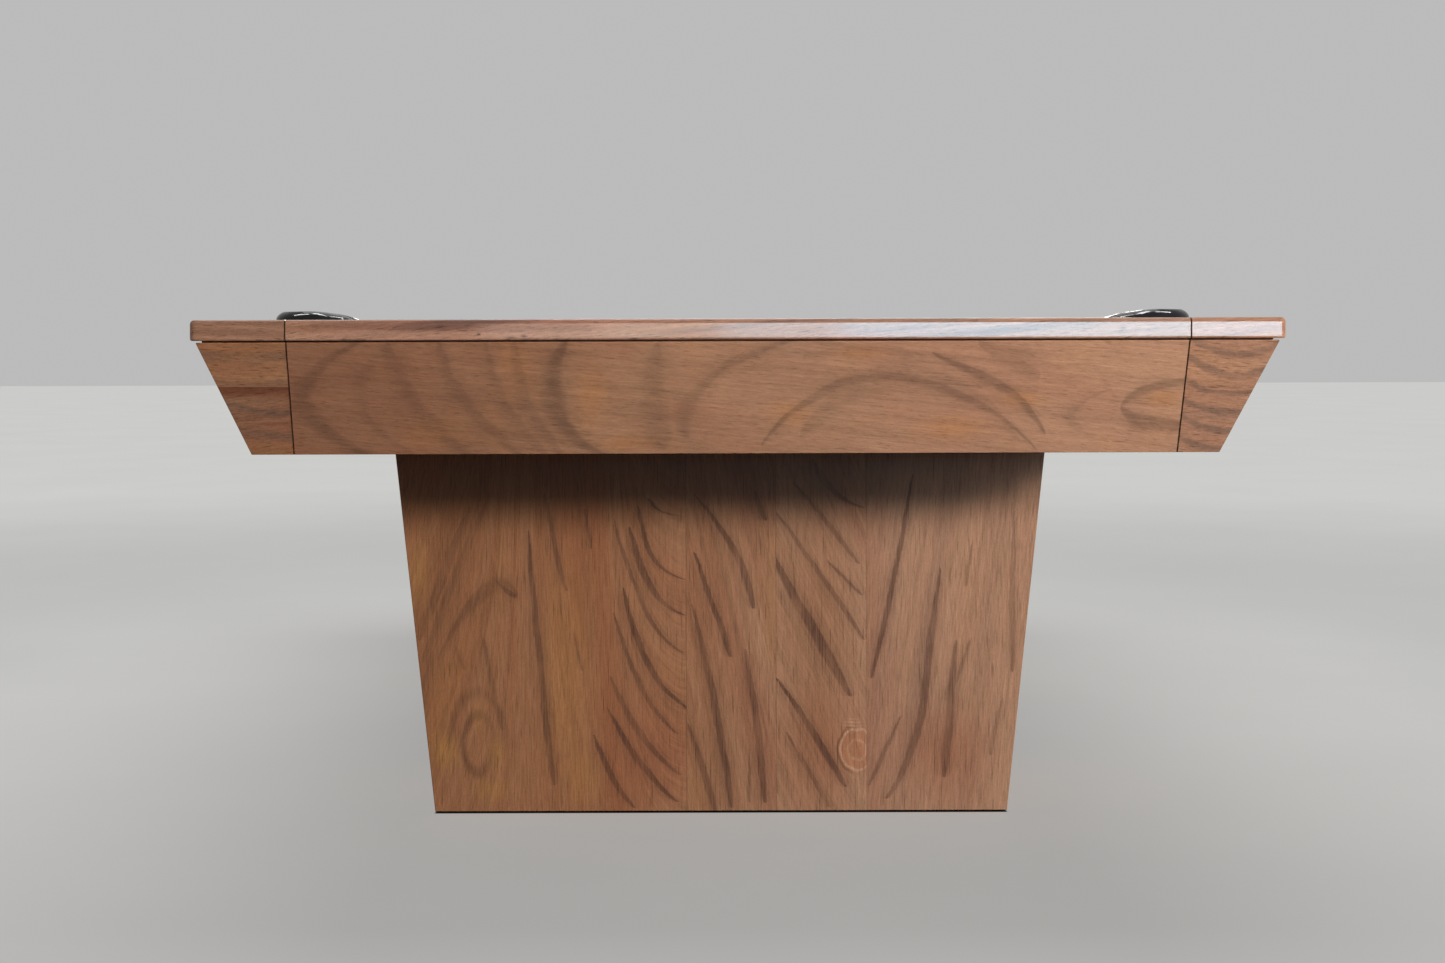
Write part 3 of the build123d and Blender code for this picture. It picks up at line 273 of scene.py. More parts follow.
class Wood:
    """Colours of one kind of finished board."""

    def __init__(self, pale, middle, red, grey, dark, gold):
        self.pale, self.middle, self.red = tone(*pale), tone(*middle), tone(*red)
        self.grey, self.dark, self.gold = tone(*grey), tone(*dark), tone(*gold)
        self.ground = tone(*((a + b) / 2 for a, b in zip(pale, middle)))


BASE_WOOD = Wood((160, 117, 87), (143, 99, 71), (139, 84, 59), (122, 90, 69), (82, 54, 42), (161, 112, 66))
APRON_WOOD = Wood((164, 120, 90), (146, 103, 77), (148, 94, 70), (120, 90, 74), (84, 61, 50), (170, 116, 76))
RAIL_WOOD = Wood((170, 128, 104), (146, 107, 85), (148, 94, 74), (114, 88, 76), (74, 50, 42), (170, 118, 82))
CAP_WOOD = Wood((160, 115, 88), (134, 93, 71), (138, 84, 63), (106, 79, 67), (70, 46, 38), (162, 110, 72))


def board_offset(across, seed, joints):
    """A number that differs from board to board, so that each has its own figure."""
    offset = across * 0.0 + seed * 7.31
    for joint in joints:
        offset = offset + across.math("GREATER_THAN", joint) * 3.7
    return offset


def grain(tree, along, across, depth, wood, seed, joints=(), flow=None, swirl=0.02, band=16.0, streaks=0.8,
          rings=0.0, reach=1.0, fleck=1.0, calm=0.0, run=1.0):
    """Ground colour, shade and relief of boards glued edge to edge at the joints.

    flow bends the course of the grain, swirl and band set its waviness and its stripes per metre,
    streaks and rings the strength of its dark streaks and of its contour figure. A greater reach
    shortens the figure along the grain, fleck sets the strength of the fine flecks and run how often
    they change along the grain, and calm evens out the ground colour.
    """
    offset = board_offset(across, seed, joints)
    drift = noise(vector(tree, along * 1.3 + offset, across * 3.4, depth * 1.5 + offset), detail=1.0)
    ripple = noise(vector(tree, along * 8.0 + offset, across * 20.0, offset))
    course = flow(along, across) if flow else across + along * ((offset * 2.3).math("SINE") * 0.10)
    line = course + (ripple - 0.5) * 0.007
    if reach == 1.0:
        line = line + (drift - 0.5) * (swirl * 2)
        bent = line
    else:
        eddy = noise(vector(tree, along * (1.3 * reach) + offset, across * (2.0 * reach), offset))
        bent = line + (eddy - 0.5) * (swirl * 2)
        line = line + (drift - 0.5) * 0.02
    figure = noise(vector(tree, along * (0.9 * reach), bent * band, offset), detail=3.0, roughness=0.6)
    colour = ramp(figure, [(0.26, wood.grey), (0.43, wood.middle), (0.60, wood.pale), (0.78, wood.middle)])
    tint = noise(vector(tree, along * (1.1 * reach) + 3.0, bent * 7.0, offset + 9.0))
    colour = mix(tree, smooth(tint, 0.46, 0.70, 0.0, 0.75), colour, wood.red)
    honey = noise(vector(tree, along * (2.2 * reach) + 6.0, bent * 9.0, offset + 2.0))
    colour = mix(tree, smooth(honey, 0.54, 0.74, 0.0, 0.45), colour, wood.gold)
    if calm:
        colour = mix(tree, calm, colour, wood.ground)
    if rings:
        contour = noise(vector(tree, along * 2.1, bent * 6.0, offset + 1.0), detail=1.0)
        wave = (contour * 34.0).math("SINE") * 0.5 + 0.5
        patchy = noise(vector(tree, along * 3.0, bent * 5.0, offset + 7.0), detail=1.0)
        edge = smooth(wave, 0.45, 1.0, 0.0, rings) * smooth(patchy, 0.36, 0.62)
        colour = mix(tree, edge, colour, wood.dark)
    if streaks:
        lens = noise(vector(tree, along * 1.5 + offset, bent * 30.0, offset + 4.0))
        colour = mix(tree, smooth(lens, 0.57, 0.74, 0.0, streaks), colour, wood.dark)
    stripe = noise(vector(tree, along * 1.6 + offset, line * 120.0, offset + 3.0), roughness=0.6)
    fibre = noise(vector(tree, along * 16.0, line * 330.0, depth * 40.0 + offset), detail=3.0, roughness=0.8)
    straight = across if flow else line
    short = noise(vector(tree, along * (75.0 * run), straight * 430.0, depth * 60.0), roughness=0.7)
    speck = noise(vector(tree, along * 420.0, across * 420.0, depth * 420.0), roughness=0.7)
    shade = (stripe - 0.5) * 0.40 + (fibre - 0.5) * 0.72 + (short - 0.5) * (0.85 * fleck)
    shade = shade + (speck - 0.5) * (0.5 * fleck) + 1.0
    pore = noise(vector(tree, along * (60.0 * run), straight * 620.0, depth * 90.0 + offset), detail=1.0)
    shade = shade * smooth(pore, 0.60, 0.74, 1.0, 1.0 - 0.45 * fleck)
    for joint in joints:
        shade = shade * smooth((across - joint).abs(), 0.0002, 0.0011, 0.74, 1.0)
    height = fibre * 0.5 + smooth(pore, 0.60, 0.74, 0.5, 0.0)
    return colour, shade, height


def shaded(tree, colour, shade):
    """The colour made darker or paler by a shade."""
    grey = vector(tree, shade, shade, shade)
    return mix(tree, 1.0, colour, grey, "MULTIPLY")


def seam_shade(place, seam):
    """Painted shade: darkens the wood beside the two open seams that lie at this distance from the middle,
    like the shade in the gap.
    """
    return smooth((place.abs() - seam).abs(), 0.0007, 0.0017, 0.30, 1.0)


def wood_material(name, wood, along, across, seed, marks=None, gloss=0.5, coat=0.0, seams=(), **figure):
    """Finished wooden boards. along names the axis of the grain, and across the axis or the two axes
    that it crosses on the board's faces; marks adds the board's own features."""
    material, tree, shader, x, y, z = new_material(
        name, Roughness=gloss, Specular_IOR_Level=0.12, Coat_Weight=coat, Coat_Roughness=0.10)
    axes = {"x": x, "y": y, "z": z}
    rest = {"x", "y", "z"} - {along} - set(across)
    depth = axes[rest.pop()] if rest else 0.0
    crossing = axes[across[0]]
    for axis in across[1:]:
        crossing = crossing + axes[axis]
    colour, shade, height = grain(tree, axes[along], crossing, depth, wood, seed, **figure)
    if marks:
        colour, shade = marks(tree, axes, colour, shade, wood)
    # Painted shade beside the open seams.
    for axis, seam in seams:
        shade = shade * seam_shade(axes[axis], seam)
    finish_surface(tree, shader, shaded(tree, colour, shade), None, height, 0.00012)
    return material


# Features of the broad panel of the front pedestal, in metres (across, up) from the middle of
# the table and the floor. Streaks: (start, end, bow, hook, width, strength), board by board.
# Patches: (middle, half sizes), and some with a strength.
PANEL_JOINTS = (-0.057, 0.092, 0.242)
PANEL_STREAKS = (
    (
        ((-0.318, 0.470), (-0.277, 0.046), 0.006, 0.0, 0.016, 1.0),
        ((-0.291, 0.530), (-0.254, 0.368), 0.006, 0.0, 0.013, 0.8),
        ((-0.226, 0.506), (-0.213, 0.438), 0.0, 0.0, 0.007, 0.8),
        ((-0.120, 0.522), (-0.066, 0.492), 0.0, 0.030, 0.010, 1.0),
        ((-0.137, 0.510), (-0.057, 0.386), 0.0, 0.050, 0.013, 1.0),
        ((-0.150, 0.475), (-0.060, 0.327), 0.010, 0.040, 0.018, 1.0),
        ((-0.176, 0.488), (-0.063, 0.264), 0.020, 0.036, 0.012, 0.9),
        ((-0.162, 0.374), (-0.048, 0.168), 0.030, 0.034, 0.016, 1.1),
        ((-0.177, 0.334), (-0.071, 0.130), 0.030, 0.020, 0.013, 0.9),
        ((-0.184, 0.228), (-0.065, 0.062), 0.030, 0.020, 0.018, 0.9),
        ((-0.189, 0.176), (-0.071, 0.018), 0.020, 0.014, 0.017, 1.1),
        ((-0.209, 0.130), (-0.143, 0.008), 0.014, 0.010, 0.016, 1.0),
        ((-0.414, 0.510), (-0.500, 0.286), 0.0, 0.0, 0.026, 0.55),
        ((-0.385, 0.520), (-0.492, 0.250), 0.010, 0.0, 0.022, 0.4),
        ((-0.478, 0.270), (-0.500, 0.150), 0.0, 0.0, 0.026, 0.45),
        ((-0.392, 0.292), (-0.362, 0.138), 0.004, 0.0, 0.014, 0.55),
        ((-0.440, 0.280), (-0.424, 0.238), 0.0, 0.0, 0.010, 0.4),
        ((-0.243, 0.300), (-0.229, 0.235), 0.0, 0.0, 0.006, 0.6),
    ),
    (
        ((-0.044, 0.529), (0.055, 0.338), -0.080, 0.0, 0.018, 1.0),
        ((-0.045, 0.433), (0.017, 0.258), -0.012, 0.0, 0.014, 1.0),
        ((-0.047, 0.346), (0.017, 0.008), -0.030, 0.0, 0.018, 1.0),
        ((0.058, 0.534), (0.077, 0.484), 0.0, 0.0, 0.014, 1.1),
        ((0.041, 0.272), (0.073, 0.016), -0.020, 0.0, 0.017, 0.9),
        ((-0.053, 0.148), (-0.009, 0.002), -0.010, 0.0, 0.017, 0.9),
        ((0.046, 0.110), (0.049, 0.016), 0.0, 0.0, 0.005, 0.6),
    ),
    (
        ((0.078, 0.442), (0.216, 0.192), -0.006, 0.0, 0.026, 1.1),
        ((0.092, 0.500), (0.240, 0.286), -0.006, 0.0, 0.015, 0.75),
        ((0.122, 0.548), (0.230, 0.412), -0.010, 0.0, 0.014, 0.8),
        ((0.176, 0.419), (0.236, 0.360), 0.0, 0.0, 0.011, 0.9),
        ((0.091, 0.224), (0.206, 0.042), -0.020, 0.0, 0.019, 1.1),
        ((0.108, 0.134), (0.180, 0.008), -0.008, 0.0, 0.014, 0.8),
        ((0.155, 0.585), (0.240, 0.505), 0.020, 0.030, 0.022, 0.9),
    ),
    (
        ((0.321, 0.560), (0.252, 0.222), -0.012, 0.0, 0.013, 1.0),
        ((0.364, 0.405), (0.274, 0.022), 0.0, -0.046, 0.020, 0.95),
        ((0.393, 0.286), (0.371, 0.058), 0.0, 0.0, 0.022, 0.9),
        ((0.418, 0.290), (0.390, 0.210), 0.0, 0.0, 0.009, 0.6),
        ((0.417, 0.446), (0.406, 0.374), 0.0, 0.0, 0.008, 0.8),
        ((0.488, 0.500), (0.484, 0.232), 0.0, 0.0, 0.013, 0.6),
        ((0.468, 0.188), (0.448, 0.094), 0.0, 0.0, 0.012, 0.6),
        ((0.300, 0.162), (0.246, 0.044), 0.0, 0.0, 0.011, 0.8),
    ),
)
# The next two run across the panel, so their points are (up, towards the left).
PANEL_ARCH = ((0.255, 0.470), (0.3615, 0.336), -0.158, -0.030, 0.032, 0.62)
PANEL_ARCH_TIP = ((0.386, 0.372), (0.3610, 0.338), 0.012, 0.0, 0.013, 1.0)
PANEL_LOOP = (-0.402, 0.116)
PANEL_LOOP_SIZE = (0.026, 0.048)
PANEL_HONEY = (
    ((-0.457, 0.105), (0.036, 0.050), 0.6),
    ((-0.372, 0.100), (0.020, 0.050), 0.5),
    ((-0.404, 0.160), (0.016, 0.036), 0.4),
    ((-0.380, 0.038), (0.044, 0.030), 0.4),
    ((-0.500, 0.400), (0.030, 0.090), 0.4),
    ((-0.258, 0.230), (0.060, 0.260), 0.3),
    ((-0.230, 0.060), (0.050, 0.070), 0.3),
)
PANEL_RED = (
    ((-0.125, 0.090), (0.100, 0.130)),
    ((0.165, 0.110), (0.100, 0.150)),
    ((0.370, 0.100), (0.110, 0.120)),
)
PANEL_BROWN = ((0.167, 0.300), (0.110, 0.500))
PANEL_KNOT = (0.226, 0.104)
PANEL_KNOT_RADIUS = 0.027
KNOT_RIPPLES = ((0.219, 0.146), (0.026, 0.018))
# Painted light: the panel's paler lit right side and its warmer, darker shaded left side.
PANEL_SHADED_SIDE, PANEL_LIT_SIDE = tone(144, 90, 55), tone(166, 127, 104)
HONEY, BROWN = tone(166, 118, 66), tone(136, 91, 62)
KNOT, KNOT_RIM, KNOT_RIPPLE = tone(160, 106, 76), tone(188, 144, 114), tone(184, 138, 106)


def front_panel_flow(z, x):
    """Course of the grain over the four boards: leaning, upright, hooked at the first joint."""
    leaning = x - z * 0.30
    upright = x + z * 0.08
    hooked = z * 0.35 - ((x - PANEL_JOINTS[0]) * (x - PANEL_JOINTS[0])) * 6.0
    inner = smooth(x, -0.40, -0.28)
    near = smooth(x, -0.23, -0.15)
    first = leaning * (1.0 - inner) + upright * inner
    first = first * (1.0 - near) + hooked * near
    course = first
    for joint, slope in zip(PANEL_JOINTS, (0.22, 0.46, -0.16)):
        beyond = x.math("GREATER_THAN", joint)
        course = course * (1.0 - beyond) + (x + z * slope) * beyond
    return course


def front_panel_marks(tree, axes, colour, shade, wood):
    """Streaks, growth loop, knot and warm patches of the front pedestal's broad panel, with painted light:
    paler on the right, warmer and darker on the left.
    """
    x, z = axes["x"], axes["z"]
    wobble = noise(vector(tree, x * 14.0, z * 9.0, 2.0))
    warp = noise(vector(tree, x * 70.0, z * 36.0, 5.0))
    fray = noise(vector(tree, x * 380.0, z * 13.0, 4.0), detail=3.0, roughness=0.7)
    split = noise(vector(tree, x * 900.0, z * 60.0, 6.0), detail=1.0)
    across = x + (wobble - 0.5) * 0.010 + (warp - 0.5) * 0.003 + (fray - 0.5) * 0.0065 + (split - 0.5) * 0.003
    # Painted light: the panel paler towards the right, where the lamps fall, and warmer and darker towards
    # the left.
    colour = mix(tree, smooth(x, -0.10, 0.30, 0.0, 0.42), colour, PANEL_LIT_SIDE)
    colour = mix(tree, smooth(x, -0.25, 0.12, 0.5, 0.0), colour, PANEL_SHADED_SIDE)
    for centre, size, strength in PANEL_HONEY:
        colour = mix(tree, blob(across, z, centre, size) * strength, colour, HONEY)
    for centre, size in PANEL_RED:
        colour = mix(tree, blob(x, z, centre, size) * 0.5, colour, wood.red)
    colour = mix(tree, blob(x, z, *PANEL_BROWN) * 0.55, colour, BROWN)
    edges = (-1.0,) + PANEL_JOINTS + (1.0,)
    total = None
    for board, streaks in enumerate(PANEL_STREAKS):
        masks = strongest([streak(z, across, *values) for values in streaks])
        inside = x.math("GREATER_THAN", edges[board]) * x.math("LESS_THAN", edges[board + 1])
        masks = masks * inside
        total = masks if total is None else total + masks
    right = (across - PANEL_LOOP[0]) / PANEL_LOOP_SIZE[0]
    up = (z - PANEL_LOOP[1] + (warp - 0.5) * 0.01) / PANEL_LOOP_SIZE[1]
    turn = (right * right + up * up).math("SQRT")
    inner = smooth((turn - 1.0).abs(), 0.34, 0.02, 0.0, 0.80) * smooth(right, 0.9, -0.9, 0.45, 1.0)
    outer = smooth((turn - 1.75).abs(), 0.40, 0.0, 0.0, 0.70) * smooth(up, -0.8, 0.6)
    outer = outer * smooth(wobble, 0.3, 0.6, 0.4, 1.0)
    total = total.math("MAXIMUM", inner).math("MAXIMUM", outer)
    arch = streak(x * -1.0, z + (warp - 0.5) * 0.006 + (fray - 0.5) * 0.006, *PANEL_ARCH, soft=0.6)
    tip = streak(x * -1.0, z + (fray - 0.5) * 0.005, *PANEL_ARCH_TIP, soft=0.3)
    total = total.math("MAXIMUM", arch).math("MAXIMUM", tip)
    patchy = noise(vector(tree, x * 26.0, z * 8.0, 8.0))
    total = total * smooth(patchy, 0.25, 0.62, 0.50, 0.92) * smooth(fray, 0.30, 0.62, 0.72, 1.05)
    colour = mix(tree, total * 0.86, colour, wood.dark)
    right = (x - PANEL_KNOT[0] + (wobble - 0.5) * 0.012) / PANEL_KNOT_RADIUS
    up = (z - PANEL_KNOT[1] + (warp - 0.5) * 0.012) / (PANEL_KNOT_RADIUS * 1.2)
    turn = (right * right + up * up).math("SQRT") + (warp - 0.5) * 0.12
    inside = x.math("LESS_THAN", PANEL_JOINTS[2])
    knot = smooth(turn, 1.25, 0.75) * inside
    colour = mix(tree, knot * 0.7, colour, KNOT)
    rim = strongest([smooth((turn - 1.04).abs(), 0.10, 0.02),
                     smooth((turn - 0.55).abs(), 0.12, 0.02, 0.0, 0.6)])
    colour = mix(tree, rim * inside * smooth(fray, 0.35, 0.6, 0.2, 0.75), colour, KNOT_RIM)
    bark = smooth((turn - 1.22).abs(), 0.12, 0.02) * smooth(right, 0.2, -0.8) * inside
    colour = mix(tree, bark * 0.5, colour, wood.dark)
    ripples = ((z + (wobble - 0.5) * 0.01 - right * right * 0.002) * 1150.0).math("SINE") * 0.5 + 0.5
    folds = ripples * blob(x, z, *KNOT_RIPPLES) * inside
    colour = mix(tree, folds * 0.6, colour, KNOT_RIPPLE)
    return colour, shade


# Soft bands of the front apron, in metres (across, up): (start, end, bow, hook, width, strength).
APRON_BANDS = (
    ((-0.500, 0.790), (-0.505, 0.618), 0.380, 0.0, 0.034, 0.8),
    ((-0.455, 0.790), (-0.440, 0.618), 0.300, 0.0, 0.020, 0.35),
    ((-0.482, 0.790), (-0.370, 0.618), 0.100, 0.0, 0.034, 0.65),
    ((-0.412, 0.790), (-0.298, 0.618), 0.090, 0.0, 0.024, 0.6),
    ((-0.345, 0.790), (-0.262, 0.618), 0.080, 0.0, 0.018, 0.45),
    ((-0.300, 0.790), (-0.240, 0.618), 0.090, 0.0, 0.022, 0.5),
    ((-0.232, 0.790), (-0.172, 0.618), 0.115, 0.045, 0.032, 1.1),
    ((-0.112, 0.780), (-0.104, 0.630), 0.0, 0.0, 0.038, 0.6),
    ((0.012, 0.768), (-0.072, 0.645), 0.110, 0.0, 0.024, 0.65),
    ((0.092, 0.790), (-0.020, 0.745), 0.0, 0.0, 0.026, 0.7),
    ((0.520, 0.715), (0.500, 0.648), 0.156, 0.0, 0.018, 0.45),
)
APRON_ARCHES = (              # points (up, across)
    ((0.629, 0.424), (0.636, 0.036), -0.302, -0.050, 0.018, 0.85),
    ((0.640, 0.400), (0.650, 0.090), -0.318, -0.030, 0.052, 0.45),
    ((0.668, 0.440), (0.760, 0.090), -0.180, 0.0, 0.016, 0.35),
    ((0.727, 0.640), (0.690, 0.535), 0.006, -0.024, 0.018, 0.9),
    ((0.664, 0.640), (0.690, 0.535), 0.000, 0.020, 0.024, 0.9),
)
APRON_SWEEPS = (              # points (up, towards the left)
    ((0.767, -0.268), (0.652, -0.434), 0.0, -0.036, 0.018, 1.0),
    ((0.780, -0.330), (0.735, -0.420), 0.0, 0.0, 0.030, 0.5),
)
APRON_HONEY = (               # patches: (middle, half sizes)
    ((-0.205, 0.705), (0.036, 0.070)), ((-0.430, 0.650), (0.060, 0.034)), ((0.075, 0.680), (0.050, 0.030)),
    ((-0.310, 0.760), (0.030, 0.050)), ((0.395, 0.700), (0.050, 0.020)), ((0.590, 0.700), (0.040, 0.016)),
    ((-0.150, 0.640), (0.060, 0.020)), ((0.300, 0.660), (0.070, 0.030)), ((0.170, 0.765), (0.060, 0.012)),
)
APRON_GREY = ((0.385, 0.762), (0.060, 0.020))
# Painted light: the apron's paler lit right side.
APRON_LIT_SIDE = tone(172, 131, 106)


def front_apron_marks(tree, axes, colour, shade, wood):
    """Broad soft bands and arches of the front apron, with painted light: paler on the right, redder and
    darker on the left.
    """
    x, z = axes["x"], axes["z"]
    wobble = noise(vector(tree, x * 10.0, z * 12.0, 2.0))
    warp = noise(vector(tree, x * 42.0, z * 60.0, 5.0), detail=3.0)
    fray = noise(vector(tree, x * 55.0, z * 420.0, 9.0))
    slip = (wobble - 0.5) * 0.024 + (warp - 0.5) * 0.010 + (fray - 0.5) * 0.008
    rise = (wobble - 0.5) * 0.014 + (warp - 0.5) * 0.006 + (fray - 0.5) * 0.003
    # Painted light: the apron paler towards the right, where the lamps fall, and redder and darker towards
    # the left.
    colour = mix(tree, smooth(x, -0.35, 0.30, 0.0, 0.36), colour, APRON_LIT_SIDE)
    colour = mix(tree, smooth(x, -0.60, -0.15, 0.4, 0.0), colour, wood.red)
    shade = shade * smooth(x, -0.50, -0.05, 0.87, 1.0)
    for centre, size in APRON_HONEY:
        colour = mix(tree, blob(x + slip, z + rise, centre, size) * 0.6, colour, wood.gold)
    masks = [streak(z, x + slip, *values, soft=0.7) for values in APRON_BANDS]
    masks += [streak(x, z + rise, *values, soft=0.35) for values in APRON_ARCHES]
    masks += [streak(x * -1.0, z + rise, *values, soft=0.35) for values in APRON_SWEEPS]
    total = strongest(masks)
    grey = blob(x + slip, z + rise, *APRON_GREY)
    total = total.math("MAXIMUM", grey * 0.6)
    patchy = noise(vector(tree, x * 18.0, z * 26.0, 8.0))
    total = total * smooth(patchy, 0.2, 0.65, 0.65, 1.0) * smooth(fray, 0.3, 0.65, 0.85, 1.05)
    colour = mix(tree, total * 0.56, colour, wood.dark)
    return colour, shade


BLOCK_MIDDLE_X = 0.69         # middle of a corner block, from the middle of the table
BLOCK_JOINT_Z = 0.720
BLOCK_PALE, BLOCK_RED = tone(164, 124, 101), tone(120, 66, 46)


def wavy_bands(tree, x, z, seed, pitch, sag):
    """Strength of wavy growth bands that cross a corner block."""
    wobble = noise(vector(tree, x * 9.0, z * 16.0, seed))
    warp = noise(vector(tree, x * 50.0, z * 110.0, seed + 3.0))
    side = x.abs() - BLOCK_MIDDLE_X
    level = z + (wobble - 0.5) * 0.026 + (warp - 0.5) * 0.007 - side * side * sag
    bands = smooth((level * (2 * math.pi / pitch)).math("SINE"), 0.0, 0.95)
    patchy = noise(vector(tree, x * 14.0, z * 50.0, seed + 5.0))
    return bands * smooth(patchy, 0.30, 0.60, 0.40, 1.0)


def block_marks(tree, axes, colour, shade, wood):
    """Grey growth bands across a corner block."""
    bands = wavy_bands(tree, axes["x"], axes["z"], 1.0, 0.027, 4.0)
    colour = mix(tree, 0.35, colour, BLOCK_PALE)
    return mix(tree, bands * 0.85, colour, wood.grey), shade * 0.92


def left_block_marks(tree, axes, colour, shade, wood):
    """The left corner block: golden above, and a redder board glued on below half height."""
    x, z = axes["x"], axes["z"]
    below = z.math("LESS_THAN", BLOCK_JOINT_Z)
    colour = mix(tree, (1.0 - below) * 0.35, colour, wood.gold)
    bands = wavy_bands(tree, x, z + x * 0.25 * below, 7.0, 0.034, 2.0)
    colour = mix(tree, bands * (below * 0.25 + 0.55), colour, wood.grey)
    crown = smooth(z, BLOCK_JOINT_Z - 0.024, BLOCK_JOINT_Z - 0.004) * below
    colour = mix(tree, crown * 0.8, colour, BLOCK_RED)
    foot = smooth(z, APRON_LOW_Z + 0.026, APRON_LOW_Z + 0.008)
    colour = mix(tree, foot * 0.6, colour, wood.gold)
    return colour, shade * (0.93 - below * 0.07)


# Pin knots of the front rail, and its streaks, with points (up, towards the left).
RAIL_SPOTS = (((-0.293, 0.7895), (0.007, 0.0035)), ((-0.355, 0.7926), (0.004, 0.0030)),
              ((-0.310, 0.7880), (0.012, 0.002)))
RAIL_STREAKS = (
    ((0.8035, 0.62), (0.7995, 0.20), 0.0, 0.0, 0.010, 0.9),
    ((0.7930, 0.24), (0.8010, -0.12), 0.0, 0.0, 0.007, 0.5),
    ((0.7980, -0.30), (0.7930, -0.62), 0.0, 0.0, 0.006, 0.4),
)
RAIL_PALE = tone(186, 142, 116)


def front_rail_marks(tree, axes, colour, shade, wood):
    """A dark streak and small pin knots along the front rail."""
    x, z = axes["x"], axes["z"]
    wobble = noise(vector(tree, x * 5.0, z * 60.0, 2.0))
    fray = noise(vector(tree, x * 12.0, z * 700.0, 3.0))
    level = z + (wobble - 0.5) * 0.010 + (fray - 0.5) * 0.003
    streaks = strongest([streak(x * -1.0, level, *values, soft=0.6) for values in RAIL_STREAKS])
    colour = mix(tree, smooth(x, -0.05, -0.25, 0.0, 0.4) * smooth(level, 0.800, 0.794), colour, RAIL_PALE)
    colour = mix(tree, streaks * 0.25, colour, wood.dark)
    for centre, size in RAIL_SPOTS:
        shade = shade * (1.0 - blob(x, z, centre, size) * 0.7)
    return colour, shade


# ---------------------------------------------------------------- materials of the CAD nodes
SEAM_X = -0.5 * (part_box("corner_cap_front_left")[1].x + RAIL_LOW.x)
SEAM_Y = -0.5 * (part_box("corner_cap_front_left")[1].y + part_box("rail_cap_left_front")[0].y)
SEAMS = (("x", SEAM_X), ("y", SEAM_Y))


def paint(node, material):
    """Puts one material on a CAD node."""
    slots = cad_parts[node].material_slots
    for slot in slots:
        slot.material = material
    if not slots:
        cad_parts[node].data.materials.append(material)


def paint_all(nodes, material):
    for node in nodes:
        paint(node, material)


def paint_rails():
    """Rails and corner caps of solid wood, with the grain along them."""
    look = {"coat": 0.55, "seams": SEAMS, "band": 40.0, "swirl": 0.010, "streaks": 0.6}
    paint("rail_cap_front", wood_material("rail_front", RAIL_WOOD, "x", "zy", 1.0, front_rail_marks, **look))
    paint("rail_cap_back", wood_material("rail_back", RAIL_WOOD, "x", "zy", 2.0, **look))
    for number, side in enumerate(("left", "right")):
        for count, end in enumerate(("front", "back")):
            seed = 3.0 + number * 2 + count
            paint(f"rail_cap_{side}_{end}",
                  wood_material(f"rail_{side}_{end}", RAIL_WOOD, "y", "xz", seed, **look))
            paint(f"corner_cap_{end}_{side}",
                  wood_material(f"cap_{end}_{side}", CAP_WOOD, "x", "zy", seed + 5, **look))


def paint_aprons():
    """Apron boards and the corner blocks between them."""
    plain_board = {"swirl": 0.07, "rings": 0.5, "streaks": 0.25, "reach": 1.6, "seams": SEAMS}
    for number, side in enumerate(("left", "right")):
        for count, end in enumerate(("front", "back")):
            marks = left_block_marks if (side, end) == ("left", "front") else block_marks
            joints = (BLOCK_JOINT_Z,) if marks is left_block_marks else ()
            seed = 13.0 + number * 2 + count
            block = wood_material(f"block_{end}_{side}", APRON_WOOD, "x", "z", seed, marks, joints=joints,
                                  band=34.0, swirl=0.014, streaks=0.0, seams=SEAMS)
            paint(f"corner_block_{end}_{side}", block)
        paint(f"apron_{side}",
              wood_material(f"apron_{side}", APRON_WOOD, "y", "z", 20.0 + number, **plain_board))
    front = wood_material("apron_front", APRON_WOOD, "x", "z", 24.0, front_apron_marks, swirl=0.05, reach=4.5,
                          band=14.0, streaks=0.0, fleck=0.6, calm=0.45, seams=SEAMS)
    paint("apron_front", front)
    paint("apron_back", wood_material("apron_back", APRON_WOOD, "x", "z", 25.0, **plain_board))


PEDESTAL_RUN = 0.32
INNER_JOINTS = (-0.31, -0.13, 0.04, 0.21, 0.37)
SIDE_JOINTS = (-0.66, -0.50, 0.50, 0.66)


def paint_pedestals():
    """The pedestals' panels, each of boards glued edge to edge."""
    front = wood_material("panel_front_outer", BASE_WOOD, "z", "x", 30.0, front_panel_marks,
                          joints=PANEL_JOINTS, flow=front_panel_flow, swirl=0.008, band=14.0, streaks=0.25,
                          run=PEDESTAL_RUN, fleck=0.9, calm=0.15)
    paint("pedestal_front_outer_panel", front)
    for number, name in enumerate(("front_inner", "back_outer", "back_inner")):
        panel = wood_material(f"panel_{name}", BASE_WOOD, "z", "x", 31.0 + number, joints=INNER_JOINTS,
                              swirl=0.05, band=12.0, run=PEDESTAL_RUN)
        paint(f"pedestal_{name}_panel", panel)
    for number, end in enumerate(("front", "back")):
        sides = wood_material(f"panel_sides_{end}", BASE_WOOD, "z", "y", 34.0 + number, swirl=0.05, band=12.0,
                              joints=SIDE_JOINTS, run=PEDESTAL_RUN)
        paint(f"pedestal_{end}_side_panels", sides)


def paint_frame():
    """Raw timber of the frame, the sub-rails and the small strips."""
    raw = Wood((206, 178, 136), (196, 164, 120), (190, 150, 108),
               (176, 150, 116), (150, 118, 84), (206, 170, 120))
    paint_all(("cross_beams", "outriggers", "pedestal_plates", "sub_rails_end", "feather_strips"),
              wood_material("frame_across", raw, "x", "z", 40.0, gloss=0.7, streaks=0.15))
    paint_all(("long_beams", "foot_rails", "sub_rails_side", "slate_backing", "seam_dowels"),
              wood_material("frame_along", raw, "y", "z", 41.0, gloss=0.7, streaks=0.15))


RIMS = ("corner_pocket_rims", "side_pocket_rims")


